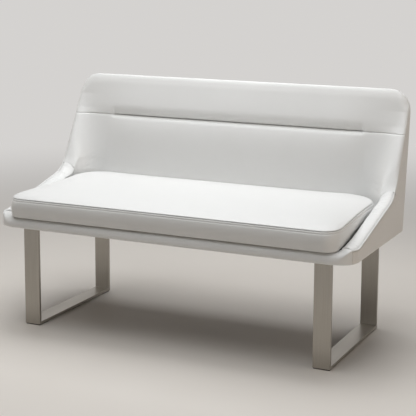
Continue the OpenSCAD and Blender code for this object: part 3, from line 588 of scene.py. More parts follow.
def side_columns():
    """Columns of a side panel, from its seam with the lip to the rear of the bench."""
    front_top = (end_y, panel_top(end_y))
    columns = [((end_y, underside), front_top, -run, corner_wrap - run / corner_r)
               for run in [0, 0.0004, 0.0010, 0.0018, 0.0028, 0.004] + steps(0.005, wrap_run, 10)[:-1]]
    rim = [(y, panel_top(y)) for y in steps(end_y, bend_point(band_slope, band_t)[0], 12)[:-1]]
    rim += [(y, panel_top(y)) for y in (bend_point(a, band_t)[0]
                                        for a in steps(band_slope, wing_slope, 16))]
    rim += [(rim_y(z, band_t), z) for z in steps(bend_point(wing_slope, band_t)[1], cap_z, 10)[1:]]
    top_rear = rear_at(cap_z)
    rim += [(mix(rim[-1][0], top_rear - edge_r, share), cap_z) for share in (0.33, 0.66)]
    rim += [(top_rear - p, cap_z) for p in reversed(edge_places)]
    for y, z in rim:
        share = (y - end_y) / (top_rear - end_y)
        low = (mix(end_y, rear_at(underside), share), underside)
        columns.append((low, (y, z), top_rear - y, 0.0))
    return columns


def place_on(sign):
    """Turns a point of the side's outline into a place on the right side, or on the left one."""
    def place(at, depth, angle):
        x, y = round_corner(angle, half_length - depth, at[0])
        return sign * x, y, at[1]
    return place


sides = (("left", -1), ("right", 1))
for side, sign in sides:
    panel = add_swept("outer_side_cover_" + side,
                      [cover_rows(side_columns(), half_length - panel_x, place_on(sign))],
                      shaded_panel_leather, "panel_cover", "side_panel_" + side)

outer_back_t = 0.005
back_xs = [-panel_x + p for p in edge_places] + steps(-panel_x, panel_x, 60)[1:-1] \
    + [panel_x - p for p in reversed(edge_places)]
back_columns = [((x, underside), (x, cap_z), panel_x - abs(x), 0.0) for x in back_xs]
back_cover = add_swept("outer_back_cover",
                       [cover_rows(back_columns, outer_back_t,
                                   lambda at, depth, angle: (at[0], rear_at(at[1]) - depth, at[1]))],
                       shaded_panel_leather, "panel_cover", "outer_back_panel")


# Side bands: foam strips glued over the top edges of the side boards, in a separate cover that
# is sewn to the lining inside and to the welt outside. The cover is gathered over the foam, so
# that fine folds cross it all along. In front it is sewn to the lip along a slanting seam.
cross_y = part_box("side_band_right")[1].y
cross_angle = math.asin((cross_y - bend_y) / rim_bend_r)
cross_z = bend_point(cross_angle)[1]
band_end_z = rim_z(cross_y, band_t)
seam_inner_drop = 2 * (cross_z - band_end_z)
band_inner_drop = 0.014
band_crown = 0.004
band_outer_drop = band_crown + 0.001
roll_hook_share = 0.6
nose_hook_share = 1.6
bend_start_y = bend_point(band_slope)[0]
welt_r = 0.0024
cushion_gap = 0.003
cushion_front_r = 0.040
cushion_hx = lining_x - cushion_gap


def cubic(a, b, c, d, t):
    """A point of a curve from a to d, which sets out towards b and comes in from c."""
    u = 1 - t
    return a * (u ** 3) + b * (3 * u * u * t) + c * (3 * u * t * t) + d * (t ** 3)


def pucker(along, across, pitch):
    """Short folds that cross a seam, uneven in length and depth."""
    fold = noise.noise(Vector((along / pitch, across / (pitch * 6), 3.7)))
    return fold + 0.5 * noise.noise(Vector((along / pitch * 2.3, across / (pitch * 4), 9.1)))


def clear_x(angle):
    """Where the raised edge clears the cushion, as its place along the straight side."""
    by_side = (lining_x - corner_x) / math.cos(angle)
    cx = cushion_hx - cushion_front_r - corner_x
    cy = corner_r - cushion_front_r
    if by_side * math.sin(angle) <= cy:
        return corner_x + by_side
    along = cx * math.cos(angle) + cy * math.sin(angle)
    reach = cushion_front_r + cushion_gap
    return corner_x + along + math.sqrt(max(0.0, along ** 2 + reach ** 2 - cx ** 2 - cy ** 2))


def band_roll(y, inner_x, steps_across):
    """Top of a band at one station, from the lining to the welt."""
    top = rim_z(y)
    fall = ramp((y - bend_start_y) / (cross_y - bend_start_y))
    drop = min(mix(band_inner_drop, seam_inner_drop, fall), (top - deck_top) / 2)
    low = np.array([inner_x, top - drop])
    hook = np.array([inner_x, top - drop * (1 - roll_hook_share)])
    brow = np.array([half_length, top + band_outer_drop * (nose_hook_share - 1)])
    outer = np.array([half_length, top - band_outer_drop])
    return [cubic(low, hook, brow, outer, i / steps_across) for i in range(steps_across + 1)]


cross_run = cross_y - end_y
close_places = [0.0004, 0.0009, 0.0016, 0.0025, 0.0036]
band_w = 0.053
band_dome = 0.0045
band_fold_pitch = 0.006
band_fold = 0.0012
band_edge_fold = 0.0008
front_seam_depth = 0.0024
cross_seam_depth = 0.0020
inner_seam_depth = 0.0016
welt_seam_depth = 0.0056
welt_seam_reach = 0.020


def band_station(run):
    """Angle and y for a distance along the band, which is 0 where the corner begins."""
    return max(0.0, -run / corner_r), end_y + max(0.0, run)


def band_rows(sign):
    """Sections of a band: under its foam, up by the welt, then over its roll to the lining."""
    across = 28
    runs = steps(-wrap_run, 0, 36) + steps(0, bend_start_y - end_y, 260) \
        + [bend_point(a)[0] - end_y for a in steps(band_slope, cross_angle, 60)] \
        + [c - wrap_run for c in close_places] + [cross_run - c for c in close_places]
    rows = []
    for run in sorted(set(runs)):
        angle, y = band_station(run)
        seam = front_seam_depth * curl(run + wrap_run, 0.005) \
            + cross_seam_depth * curl(cross_run - run, 0.006)
        inner_x = clear_x(angle)
        edge = rim_z(y, band_t)
        welt_x = half_length - 2 * welt_r
        row = [(inner_x, deck_top + soft_gap), (board_x, deck_top + soft_gap), (board_x, edge),
               (welt_x, edge), (welt_x, edge + 0.003)]
        roll = band_roll(y, inner_x, across)
        for i in range(across, -1, -1):
            x, z = roll[i]
            share = i / across
            fold = pucker(run, x, band_fold_pitch) * (band_fold + band_edge_fold * (2 * share - 1) ** 2)
            dome = band_dome * math.sin(math.pi * share) ** 2
            outer_seam = welt_seam_depth * max(0.0, 1 - (1 - share) * band_w / welt_seam_reach) ** 2
            inner_seam = inner_seam_depth * curl(share * band_w, 0.008)
            row.append((x - outer_seam * 0.9 + inner_seam, z - seam + fold + dome - outer_seam * 0.75))
        plan = [round_corner(angle, x, y) for x, z in row]
        rows.append([(sign * px, py, z) for (px, py), (x, z) in zip(plan, row)])
    return rows


for side, sign in sides:
    band = add_swept("band_cover_" + side, [band_rows(sign)], pale_leather, "upholstery",
                     "side_band_" + side)


# Welts: a cord in a strip of the cover, sewn into the seam between band and outer panel. The
# stitches draw it in at an even pitch. At the cross seam it turns in over the band's end.
def tube_rows(path, radii, sides=12):
    """Sections of a round cord along a path, with a radius for each point of it."""
    rows = []
    for i, (point, radius) in enumerate(zip(path, radii)):
        before = Vector(path[max(0, i - 1)])
        after = Vector(path[min(len(path) - 1, i + 1)])
        along = (after - before).normalized()
        out = along.cross(Vector((0.1, 0.2, 1))).normalized()
        up = out.cross(along)
        rows.append([tuple(Vector(point) + out * (radius * math.cos(a)) + up * (radius * math.sin(a)))
                     for a in (2 * math.pi * k / sides for k in range(sides))])
    return rows


welt_drop = 0.0038
welt_stand_out = 0.0010
welt_stitch_pitch = 0.0045
cross_steps = 40
cross_shown = 18


def welt_path(sign):
    """The cord's path along the band, then across its end, and its radius at each point."""
    path = []
    radii = []
    for run in steps(-wrap_run, cross_run, 420):
        angle, y = band_station(run)
        x, plan_y = round_corner(angle, half_length - welt_r + welt_stand_out, y)
        path.append((sign * x, plan_y, rim_z(y) - welt_drop))
        stitched = math.sin(2 * math.pi * run / welt_stitch_pitch)
        radii.append(welt_r * (1 + 0.05 * pucker(run, 0, band_fold_pitch) + 0.04 * stitched))
    roll = band_roll(cross_y, lining_x, cross_steps)
    for k in range(cross_shown):
        x, z = roll[cross_steps - k]
        path.append((sign * (x + 0.0004), cross_y, z + 0.0006))
        radii.append(mix(welt_r * 0.9, welt_r * 0.45, k / cross_shown))
    return path, radii


for side, sign in sides:
    welt = add_swept("welt_cord_" + side, [tube_rows(*welt_path(sign))], pale_leather, "upholstery",
                     "side_welt_" + side)


# Front lip: one long foam roll along the front of the seat frame and into both corners, where it
# rises to the height of the side bands. Its cover is pulled under the frame, and it is sewn to
# the bands along a slanting seam and to the side panels down the corner.
lip_web_t = half_length - board_x
lip_lap_w = half_length - lining_x
lip_round_w = 0.030
lip_round_h = 0.024
lip_foot_r = 0.011
lip_foot_end_r = 0.002
lip_rise_angle = math.radians(72)
lip_seam_depth = 0.0018
lip_wave = 0.0005
lip_gather = 0.0004
lip_corner_gather = 0.0006
lip_tuck = 0.0012
deck_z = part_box("seat_deck")[0].z


def lip_section(angle):
    """Hidden and shown points at an angle, as distances inside the outer face and heights."""
    rise = ramp((lip_rise_angle - angle) / (lip_rise_angle - corner_wrap))
    inner_x = clear_x(angle)
    shelf = min(mix((lip_lap_w + lip_round_w) / 2, half_length - inner_x, rise), lip_lap_w - 0.0005)
    foot_r = mix(lip_foot_r, lip_foot_end_r, rise)
    hidden = [(lip_web_t, underside), (lip_web_t, deck_z), (lip_lap_w, deck_z),
              (lip_lap_w, deck_top), (shelf, deck_top)]
    roll_steps = 24
    shown = []
    for i, band in enumerate(band_roll(end_y, inner_x, roll_steps)):
        turn = math.pi / 2 * (1 - i / roll_steps)
        low_x = lip_round_w * (1 - math.cos(turn))
        low_z = deck_top - lip_round_h * (1 - math.sin(turn))
        shown.append((mix(low_x, half_length - band[0], rise), mix(low_z, band[1], rise)))
    last = shown[-1]
    shown += [(0.0, z) for z in steps(last[1], underside + foot_r, 8)[1:-1]]
    shown += [(foot_r * (1 - math.cos(a)), underside + foot_r * (1 - math.sin(a)))
              for a in steps(0, math.pi / 2, 10)]
    return hidden, shown, rise


def lip_stations():
    """From the left corner to the right: middle of the corner and angle there."""
    close = [c / corner_r for c in close_places]
    angles = sorted(set(steps(corner_wrap, math.pi / 2, 40) + [corner_wrap + c for c in close]))
    left = [(-corner_x, math.pi - a) for a in angles]
    front = [(x, math.pi / 2) for x in steps(-corner_x, corner_x, 260)[1:-1]]
    right = [(corner_x, a) for a in reversed(angles)]
    return left + front + right


lip_rows = []
for centre_x, angle in lip_stations():
    from_side = min(angle, math.pi - angle)
    run = centre_x - (angle - math.pi / 2) * corner_r
    hidden, shown, rise = lip_section(from_side)
    seam = lip_seam_depth * curl((from_side - corner_wrap) * corner_r, 0.005)
    points = list(hidden)
    for i, (inset, z) in enumerate(shown):
        share = i / (len(shown) - 1)
        wave = lip_wave * noise.noise(Vector((run * 9, share * 2, 0.3)))
        gather = lip_gather + lip_corner_gather * rise
        fold = gather * pucker(run, share * 0.05, mix(0.014, 0.009, rise)) * (1 - share) ** 1.5
        sunk = seam + wave + fold
        facing_up = max(0.0, 1 - share * 2)
        tuck = lip_tuck * curl(share * 0.08, 0.006) * rise
        points.append((inset + sunk * (1 - facing_up), z - sunk * facing_up - tuck))
    lip_rows.append([(centre_x + (corner_r - inset) * math.cos(angle),
                      end_y - (corner_r - inset) * math.sin(angle), z) for inset, z in points])
lip = add_swept("front_lip_cover", [lip_rows], pale_leather, "upholstery", "front_lip")


# Inner back, in two covers over shaped foam. The lower one wraps round into both wings, and
# the upper one goes on over the top. They are sewn together along a level seam, which is drawn
# deep into the foam between the wings and lies flat beyond.
back_board_t = 0.012
pad_bottom_t = 0.038
pad_top_t = 0.014
cove_w = 0.090
top_corner_r = 0.075
pleat_half = 0.514
pleat_depth = 0.013
pleat_lower_roll = 0.016
pleat_upper_roll = 0.044
flat_seam_depth = 0.0015
upper_bulge = 0.0125
pleat_fade = 0.022
bulge_fade = 0.150
belly_depth = 0.013
belly_peak = 4.1
belly_half = 0.40
belly_fade = 0.20
belly_foot = 0.03
crease_depth = 0.0024
crease_reach = 0.005
gather_depth = 0.0011
gather_pitch = 0.016
gather_reach = 0.022
pull_depth = 0.0013
pull_pitch = 0.011
pull_reach = 0.03
unevenness = 0.0012
cove_x = lining_x - cove_w
cove_knee_share = 0.65
nose_hook = 0.004
nose_outer_share = 0.8
wing_nose_depth = 0.008
wing_pad_t = 0.006
wing_flare_h = 0.090


def board_at(z):
    """Front plane of the back board at a height."""
    return rear_at(z) - outer_back_t - back_board_t


def face_at(z):
    """Front plane of the back at a height: the foam thins towards the top."""
    return board_at(z) - mix(pad_bottom_t, pad_top_t, (z - deck_top) / (cap_z - deck_top))


def conic(a, b, c, t):
    """A quarter of an ellipse from a to c, with its corner at b."""
    weight = math.sqrt(0.5)
    u = 1 - t
    total = u * u + 2 * weight * u * t + t * t
    return (a * u * u + b * 2 * weight * u * t + c * t * t) / total


def bulge_at(x, z):
    """Fullness of the upper cover's foam over the seam."""
    across = 1 - ramp((abs(x) - pleat_half + bulge_fade) / (2 * bulge_fade))
    return upper_bulge * across * (1 - min(1.0, (z - seam_z) / (roll_z - seam_z)) ** 2) ** 1.5


def belly(x, z):
    """Fullness of the lower cover's foam between the cushion and the level seam."""
    foot = cross_z - belly_foot
    if not foot < z < seam_z:
        return 0.0
    up = (z - foot) / (seam_z - foot)
    rounded = belly_peak * up ** 1.6 * (1 - up) ** 0.7
    return belly_depth * rounded * (1 - ramp((abs(x) - belly_half) / belly_fade))


def seam_crease(z):
    """The thread line of the level seam, sunk between its two covers."""
    return crease_depth * curl(abs(z - seam_z), crease_reach)


def seam_dip(x, z, upper):
    """How far the seam and its gathers draw the face in."""
    height = abs(z - seam_z)
    pleat = ramp((pleat_half - abs(x)) / pleat_fade)
    depth = pleat_depth * pleat + flat_seam_depth
    near = math.exp(-height / gather_reach)
    gather = gather_depth * pucker(x, height, gather_pitch) * near * (0.35 + 0.65 * pleat)
    crease = seam_crease(z) * (1 - 0.5 * pleat)
    over_band = math.exp(-abs(z - cross_z) / pull_reach) * ramp((abs(x) - cove_x) / 0.04)
    pull = pull_depth * over_band * pucker(abs(x) * 0.6 + z, abs(x), pull_pitch)
    broad = unevenness * noise.noise(Vector((x * 5, z * 7, 1.3))) + crease + pull - belly(x, z)
    if upper:
        draw = (depth + bulge_at(x, seam_z)) * curl(height, pleat_upper_roll) - bulge_at(x, z)
    else:
        draw = depth * curl(height, pleat_lower_roll)
    return draw + gather + broad


face_run = steps(0, pleat_half - pleat_fade, 96)[:-1] \
    + steps(pleat_half - pleat_fade, pleat_half, 14)[:-1]
cove_steps = 30
nose_steps = 20
nose_softening = 26
front_roll_h = 0.034
cross_seam_pinch = 0.0024


def softened(points, passes):
    """Evens out the bend of a line of points. Its ends stay."""
    line = np.array(points)
    for _ in range(passes):
        line[1:-1] = (line[:-2] + 2 * line[1:-1] + line[2:]) / 4
    return [tuple(p) for p in line]


def front_half(z, upper):
    """Right half of a cover's outline at a height: the face, the cove, then the wing's nose."""
    fy = face_at(z)
    flare = ramp((z - cross_z) / wing_flare_h)
    cap_share = max(0.0, (z - cap_z) / (roll_z - cap_z))
    rim = mix(rim_y(min(z, cap_z)), face_at(roll_z) + nose_hook, cap_share)
    seam_depth = rim_y(z + seam_inner_drop) - rim_y(z)
    depth = min(mix(seam_depth, wing_nose_depth, flare), (fy - rim) / 2)
    outer = mix(band_outer_drop / math.tan(cross_angle), band_t * nose_outer_share, flare)
    tip = np.array([mix(lining_x, board_x - wing_pad_t, flare), max(cross_y, rim + depth)])
    knee = np.array([mix(lining_x, mix(cove_x, tip[0], cove_knee_share), flare), fy])
    out = (tip - knee) / np.linalg.norm(tip - knee)
    nose_end = np.array([board_x - nose_hook if z <= band_end_z else half_length, rim + outer])
    hook_in = mix(depth * roll_hook_share, band_t, flare)
    cove = [conic(np.array([cove_x, fy]), knee, tip, i / cove_steps) for i in range(cove_steps + 1)]
    start = np.array([tip[0], rim + depth])
    nose = [cubic(start, start + out * hook_in, nose_end - [0, outer * nose_hook_share], nose_end,
                  i / nose_steps) for i in range(1, nose_steps + 1)]
    if z > cross_z:
        turned = softened(cove + nose, round(nose_softening * ramp((z - cross_z) / 0.02)))
    else:
        turned = cove + nose
    points = [(x, fy + seam_dip(x, z, upper)) for x in face_run]
    for i, (x, y) in enumerate(turned):
        fade = 1 - 0.5 * ramp(i / cove_steps * 2 - 1) if i <= cove_steps \
            else 0.5 * (1 - (i - cove_steps) / nose_steps) ** 2
        sewn = cross_seam_pinch * curl(max(0.0, y - cross_y), 0.007) if z < cross_z + 0.003 else 0.0
        points.append((x + sewn, y + seam_dip(x, z, upper) * fade + seam_crease(z) * (1 - fade)))
    return [(x, max(y, cross_y) if z < cross_z else y) for x, y in points]


def closed_ring(half, rear):
    """A section of the back, from its right half and the middle of its rear side."""
    left = [(-p[0], p[1], p[2]) for p in reversed(half[1:])]
    return half + [rear] + left


def pad_ring(z, upper):
    """A section of the back at a height below the cap."""
    on_edge = z > band_end_z
    edge_y = rim_y(z, band_t) if on_edge else cross_y
    half = [(x, y, z) for x, y in front_half(z, upper)]
    half += [(half_length if on_edge else board_x, edge_y, z),
             (board_x, edge_y if on_edge else edge_y + band_t, z),
             (board_x, board_at(z), z), (cove_x, board_at(z), z)]
    return closed_ring(half, (0.0, board_at(z), z))


lower_zs = steps(deck_top + soft_gap, cross_z - seam_inner_drop, 8)[:-1] \
    + steps(cross_z - seam_inner_drop, band_end_z, 14)[:-1] + [band_end_z, band_end_z + 0.0005] \
    + steps(band_end_z + 0.0005, cross_z, 12)[1:] \
    + steps(cross_z, seam_z - pleat_lower_roll, 46)[1:] \
    + [seam_z - pleat_lower_roll * (1 - math.sin(math.pi / 2 * i / 14)) for i in range(1, 15)]
lower_back = add_swept("lower_back_cover", [[pad_ring(z, False) for z in lower_zs]], pale_leather,
                       "upholstery", "back_lower_pad")

rear_corner_r = 0.006


def cap_half_x(z):
    """Half the length of the back at a height above the start of its top corners."""
    return half_length - top_corner_r + math.sqrt(max(0.0, top_corner_r ** 2 - (z - cap_z) ** 2))


def cap_ring(z):
    """The upper cover above the boards, where it narrows with the corners and rolls over."""
    squeeze = 1.0 if z <= roll_z else math.sqrt(max(0.0, 1 - ((z - roll_z) / top_roll_r) ** 2))
    from_crest = min(1.0, (overall_height - z) / front_roll_h)
    front_squeeze = math.sqrt(1 - (1 - from_crest) ** 2)
    middle = (rear_at(roll_z) + face_at(roll_z)) / 2
    rear = mix(middle, rear_at(min(z, roll_z)), squeeze)
    corner = rear_corner_r * squeeze
    hx = cap_half_x(z)
    narrow = hx / half_length
    half = []
    for x, y in front_half(z, True):
        into_corner = max(0.0, x * narrow - (half_length - top_corner_r))
        from_rim = min(1.0, (top_corner_r - math.hypot(into_corner, z - cap_z)) / front_roll_h)
        rolled = math.sqrt(max(0.0, 1 - (1 - from_rim) ** 2))
        share = mix(front_squeeze, rolled, ramp((z - cap_z) / 0.03))
        half.append((x * narrow, mix(middle, y, min(share, front_squeeze)), z))
    half += [(hx, rear - corner, z), (hx - corner * 0.3, rear - corner * 0.3, z),
             (hx - corner, rear, z), (cove_x * narrow, rear, z)]
    return closed_ring(half, (0.0, rear, z))


upper_zs = [seam_z + pleat_upper_roll * (1 - math.cos(math.pi / 2 * i / 20)) for i in range(21)] \
    + steps(seam_z + pleat_upper_roll, cap_z, 14)[1:]
cap_zs = steps(cap_z + 0.0005, roll_z, 16) \
    + [roll_z + top_roll_r * math.sin(math.radians(a)) for a in steps(8, 87, 16)]
upper_rows = [pad_ring(z, True) for z in upper_zs] + [cap_ring(z) for z in cap_zs]
upper_back = add_swept("upper_back_cover", [upper_rows], pale_leather, "upholstery",
                       "back_upper_pad")


# Seat cushion: a boxed cushion on a plywood base, screwed down from under the deck. Its crowned
# top panel and its side strip meet in a seam that is turned down and stitched again below, so it
# shows as a bead, a dark line and a fainter row of stitches. The stitches gather both panels.
cushion_z = deck_top + soft_gap
cushion_edge_h = 0.070
cushion_seam_z = deck_top + cushion_edge_h
cushion_crown = 0.0145
crown_reach = 0.190
shoulder_h = 0.009
shoulder_reach = 0.034
cushion_foot_r = 0.009
cushion_rear_rise = 0.014
cushion_taper = 0.017
rear_corner_rx = 0.112
rear_corner_ry = 0.106
cushion_draw_in = 0.003
strip_swell = 0.0055
side_swell = 0.0025
swell_untapers = 130
front_corner_growth = 0.016
cushion_rear_y = face_at(cushion_seam_z) - cushion_gap


def cushion_loop(share, inset, draw, swell=0.0):
    """Outline of the cushion at a share of its edge height, from the middle of its front. swell
    is how far the front of the side strip stands out."""
    z = mix(cushion_z, cushion_seam_z, share)
    hx = cushion_hx - inset
    y0 = front_y + inset
    y1 = face_at(min(z, cushion_seam_z)) - cushion_gap - inset
    front_r = max(cushion_front_r + front_corner_growth * share - inset * 0.5, cushion_front_r * 0.3)
    rear_rx = rear_corner_rx - inset * 0.5
    rear_ry = rear_corner_ry - inset * 0.5
    fx = hx - front_r
    side_y0 = y0 + front_r
    side_y1 = y1 - rear_ry
    side_mid = (side_y0 + side_y1) / 2
    side_reach = (side_y1 - side_y0) / 2
    right = [(x, y0 + draw * (1 - (x / fx) ** 2)) for x in steps(0, fx, 90)[:-1]]
    right += [(fx + front_r * math.sin(a), side_y0 - front_r * math.cos(a))
              for a in steps(0, math.pi / 2, 14)[:-1]]
    right += [(hx - draw * (1 - ((y - side_mid) / side_reach) ** 2), y)
              for y in steps(side_y0, side_y1, 46)[:-1]]
    right += [(hx - rear_rx + rear_rx * math.cos(a), side_y1 + rear_ry * math.sin(a))
              for a in steps(0, math.pi / 2, 20)[:-1]]
    right += [(x, y1) for x in steps(hx - rear_rx, 0, 70)]
    taper = cushion_taper * (1 - swell_untapers * swell)
    right = [(x * (1 - taper / cushion_hx * ramp((y - side_y0) / (2 * side_reach))), y)
             for x, y in right]
    right = [(x, y - swell * (1 - ramp((y - y0) / (front_r * 1.5)))) for x, y in right]
    left = [(-x, y) for x, y in reversed(right[1:-1])]
    lift = [cushion_rear_rise * (y - front_y) / (cushion_rear_y - front_y) * min(1.0, share)
            for x, y in right + left]
    return [(x, y, z + rise) for (x, y), rise in zip(right + left, lift)]


def crown_at(inset):
    """The crown rises in a short shoulder at the seam, then slowly towards the middle."""
    shoulder = 1 - (1 - min(1.0, inset / shoulder_reach)) ** 2
    slow = 1 - (1 - min(1.0, inset / crown_reach)) ** 2
    return shoulder_h * shoulder + (cushion_crown - shoulder_h) * slow


# Pairs of height under the seam and inset, down the side strip: the bead, the groove where the
# panels meet, the turned down edge and the groove of the stitches.
bead = [(0.0000, 0.0004), (0.0004, -0.0002), (0.0010, -0.0002)]
seam_groove = [(0.0015, 0.0014), (0.0019, 0.0040), (0.0026, 0.0046), (0.0032, 0.0038)]
turned_edge = [(0.0036, 0.0012), (0.0042, 0.0000), (0.0055, -0.0003), (0.0080, 0.0000)]
stitch_groove = [(0.0087, 0.0011), (0.0094, 0.0016), (0.0101, 0.0010), (0.0110, 0.0000)]
seam_profile = bead + seam_groove + turned_edge + stitch_groove
seam_profile_end = 0.015
cushion_rows = [cushion_loop(0.0, 0.030, 0.0)]
cushion_rows += [cushion_loop(cushion_foot_r * (1 - math.cos(a)) / cushion_edge_h,
                              cushion_foot_r * (1 - math.sin(a)), cushion_draw_in)
                 for a in steps(0, math.pi / 2, 8)]
low_share = cushion_foot_r / cushion_edge_h
high_share = 1 - seam_profile_end / cushion_edge_h
for share in steps(low_share, high_share, 8)[1:]:
    bow = math.sin(math.pi * (share - low_share) / (1 - low_share))
    cushion_rows.append(cushion_loop(share, -side_swell * bow, cushion_draw_in, strip_swell * bow))
for below, inset in reversed(seam_profile):
    bow = math.sin(math.pi * below / (cushion_edge_h - cushion_foot_r))
    cushion_rows.append(cushion_loop(1 - below / cushion_edge_h, inset - side_swell * bow,
                                     cushion_draw_in, strip_swell * bow))
middle_y = (front_y + cushion_rear_y) / 2
spine_x = cushion_hx - (middle_y - front_y)
edge_loop = cushion_loop(1.0, 0.0, cushion_draw_in)
for i in range(1, 30):
    share = (i / 30) ** 2
    row = []
    for x, y, z in edge_loop:
        hub = (max(-spine_x, min(spine_x, x)), middle_y)
        px = mix(x, hub[0], share)
        py = mix(y, hub[1], share)
        inset = math.dist((x, y), hub) * share
        level = cushion_seam_z + cushion_rear_rise * (py - front_y) / (cushion_rear_y - front_y)
        row.append((px, py, level + crown_at(inset)))
    cushion_rows.append(row)
width = len(cushion_rows[0])
cushion_faces = net_faces(len(cushion_rows), width, True)
cushion_faces.append(tuple(range((len(cushion_rows) - 1) * width, len(cushion_rows) * width)))
cushion_faces.append(tuple(reversed(range(width))))
cushion = add_piece("seat_cushion_cover", [p for row in cushion_rows for p in row], cushion_faces)


def even_copy(piece, spacing):
    """A copy of a piece with points an even distance apart, for the cloth to move."""
    remesh = piece.modifiers.new("even points", "REMESH")
    remesh.mode = "VOXEL"
    remesh.voxel_size = spacing
    shaped = piece.evaluated_get(bpy.context.evaluated_depsgraph_get())
    even = bpy.data.objects.new("even_" + piece.name, bpy.data.meshes.new_from_object(shaped))
    bpy.context.scene.collection.objects.link(even)
    piece.modifiers.remove(remesh)
    return even


def blow_up(piece, is_held, spacing, pressure, furthest):
    """Swells a cover over its foam by cloth simulation. is_held tells which points are held by a
    seam or by the base, and no other point moves further than furthest."""
    even = even_copy(piece, spacing)
    before = [v.co.copy() for v in even.data.vertices]
    held = even.vertex_groups.new(name="held")
    held.add([i for i, point in enumerate(before) if is_held(point)], 1.0, "REPLACE")
    cloth = even.modifiers.new("cover", "CLOTH")
    cover = cloth.settings
    cover.quality = 4
    cover.use_pressure = True
    cover.uniform_pressure_force = pressure
    cover.vertex_group_mass = held.name
    cover.effector_weights.gravity = 0.0
    cover.bending_stiffness = 0.5
    cloth.collision_settings.use_collision = False
    for frame_number in range(1, 21):
        bpy.context.scene.frame_set(frame_number)
    shaped = even.evaluated_get(bpy.context.evaluated_depsgraph_get())
    moves = []
    places = kdtree.KDTree(len(before))
    for i, (point, vertex) in enumerate(zip(before, shaped.data.vertices)):
        move = vertex.co - point
        far = move.length
        moves.append(move * (furthest * math.tanh(far / furthest) / far) if far > 0 else move)
        places.insert(point, i)
    places.balance()
    for vertex in piece.data.vertices:
        near = [(1 / (distance + spacing * 0.05), moves[i])
                for _, i, distance in places.find_n(vertex.co, 5)]
        total = sum(weight for weight, _ in near)
        vertex.co += sum((move * (weight / total) for weight, move in near), Vector())
    bpy.context.scene.frame_set(1)
    bpy.data.objects.remove(even)


def cushion_is_held(point):
    """The cover is fixed to the base at its foot, and held in by the seam and its stitches."""
    seam = cushion_seam_z + cushion_rear_rise * (point.y - front_y) / (cushion_rear_y - front_y)
    return point.z < cushion_z + cushion_foot_r or abs(point.z - seam + 0.003) < 0.0065


blow_up(cushion, cushion_is_held, 0.007, 4.0, 0.006)
settle(cushion, pale_leather, "upholstery", "seat_cushion")

stitch_l = 0.0042
stitch_pitch = 0.0056
stitch_r = 0.00035
stitch_below = 0.0094
stitch_inset = 0.0012


def stitch(middle, along):
    """Sections of a stitch, which rises out of the cover and goes back in at its ends."""
    up = Vector((0, 0, 1))
    out = along.cross(up).normalized()
    rows = []
    for run, share in ((-0.5, 0.3), (-0.3, 1.0), (0.3, 1.0), (0.5, 0.3)):
        centre = middle + along * (run * stitch_l) + out * (stitch_r * (share - 0.4))
        r = stitch_r * share
        rows.append([centre + out * (r * math.cos(turn)) + up * (r * math.sin(turn))
                     for turn in (math.pi / 3 * k for k in range(6))])
    return rows


stitch_bow = math.sin(math.pi * stitch_below / (cushion_edge_h - cushion_foot_r))
line = cushion_loop(1 - stitch_below / cushion_edge_h, stitch_inset, cushion_draw_in,
                    strip_swell * stitch_bow)
line = [Vector(p) for p in line + line[:1]]
stitches = []
walked = 0.0
for a, b in zip(line, line[1:]):
    span = (b - a).length
    while walked < span:
        along = (b - a) / span
        stitches.append(stitch(a + along * walked, along))
        walked += stitch_pitch
    walked -= span
thread = Finish("sewing_thread")
twist = thread.cloud(thread.place, 2400.0, 1.0)
thread.give(base_color=thread.between(twist, (0.62, 0.61, 0.58), (0.78, 0.77, 0.74)),
            roughness=0.5 + twist * 0.2,
            normal=thread.raise_by(twist, 0.00005))
add_swept("cushion_stitches", stitches, thread, "upholstery")


# Room: a plain pale floor that fades into a pale backdrop, large soft lights overhead, weak
# ones at the sides, and an even sky.
floor_paint = Finish("pale_floor")
speckle = floor_paint.cloud(floor_paint.place, 3.0, 3.0)
floor_paint.give(base_color=floor_paint.between(speckle, (0.80, 0.755, 0.70), (0.84, 0.795, 0.745)),
                 roughness=0.55 + speckle * 0.1)
backdrop_colour = (0.66, 0.645, 0.63)
distance = floor_paint.node("ShaderNodeVectorMath", {"operation": "LENGTH"}, [floor_paint.place], 1)
far = floor_paint.seen_directly() * distance.above(2.6, 3.6)
paint = Shade(floor_paint, floor_paint.shader.outputs[0])
glow = floor_paint.node("ShaderNodeEmission", {}, {"Color": backdrop_colour})
floor_paint.plug(floor_paint.tree.nodes["Material Output"].inputs[0],
                 floor_paint.node("ShaderNodeMixShader", {}, [far, paint, glow]))
floor_reach = 30.0
floor = add_piece("floor", [(-floor_reach, -floor_reach, 0), (floor_reach, -floor_reach, 0),
                            (floor_reach, floor_reach, 0), (-floor_reach, floor_reach, 0)],
                  [(0, 1, 2, 3)])
floor.data.materials.append(floor_paint.material)


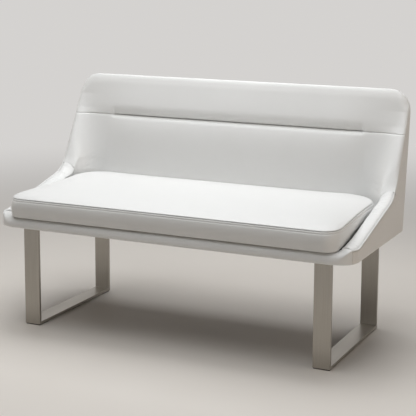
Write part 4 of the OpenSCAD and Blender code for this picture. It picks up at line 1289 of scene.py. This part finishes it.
def soft_light(name, place, target, width, depth, watts, colour):
    lamp = bpy.data.lights.new(name, "AREA")
    lamp.shape = "RECTANGLE"
    lamp.size = width
    lamp.size_y = depth
    lamp.energy = watts
    lamp.color = colour
    holder = bpy.data.objects.new(name, lamp)
    holder.location = place
    holder.rotation_euler = (Vector(target) - Vector(place)).to_track_quat("-Z", "Y").to_euler()
    bpy.context.scene.collection.objects.link(holder)


cool_white = (0.975, 0.99, 1.0)
warm_white = (1.0, 0.85, 0.70)
soft_light("overhead_front", (-0.2, -0.55, 2.6), (0, -0.1, 0.4), 2.6, 1.8, 36.0, cool_white)
soft_light("overhead_rear", (0.0, 0.5, 2.4), (0, 0.1, 0.4), 2.6, 1.4, 28.0, cool_white)
soft_light("right_fill", (4.0, -0.8, 1.0), (0, 0, 0.5), 2.0, 2.0, 22.0, warm_white)
soft_light("left_fill", (-4.0, -0.8, 1.6), (0, 0, 0.5), 2.0, 2.0, 12.0, warm_white)
sky = bpy.data.worlds.new("even_sky")
bpy.context.scene.world = sky
sky.use_nodes = True
even_light = (0.05, 0.049, 0.047)
air = Nodes(sky.node_tree)
air.plug(air.tree.nodes["Background"].inputs["Color"],
         air.between(air.seen_directly(), even_light, backdrop_colour))


# Camera: from the front right, a little above the seat, as the photograph was taken.
camera_yaw = math.radians(24.68)
camera_pitch = math.radians(9.00)
camera_roll = math.radians(0.37)
photo_width = 416
focal_in_pixels = 1195.5
middle_column = 221.3
middle_row = 145.0
forward = Vector((-math.sin(camera_yaw) * math.cos(camera_pitch),
                  math.cos(camera_yaw) * math.cos(camera_pitch), -math.sin(camera_pitch)))
level = Vector((math.cos(camera_yaw), math.sin(camera_yaw), 0))
upward = level.cross(forward)
right = level * math.cos(camera_roll) + upward * math.sin(camera_roll)
above = upward * math.cos(camera_roll) - level * math.sin(camera_roll)
lens = bpy.data.cameras.new("camera")
lens.sensor_width = 36.0
lens.lens = focal_in_pixels / photo_width * lens.sensor_width
lens.shift_x = (photo_width / 2 - middle_column) / photo_width
lens.shift_y = (middle_row - photo_width / 2) / photo_width
camera = bpy.data.objects.new("camera", lens)
turn = Matrix((right, above, -forward)).transposed()
camera.matrix_world = Matrix.Translation((1.784, -3.719, 1.308)) @ turn.to_4x4()
bpy.context.scene.collection.objects.link(camera)
bpy.context.scene.camera = camera
bpy.context.scene.view_settings.view_transform = "Standard"
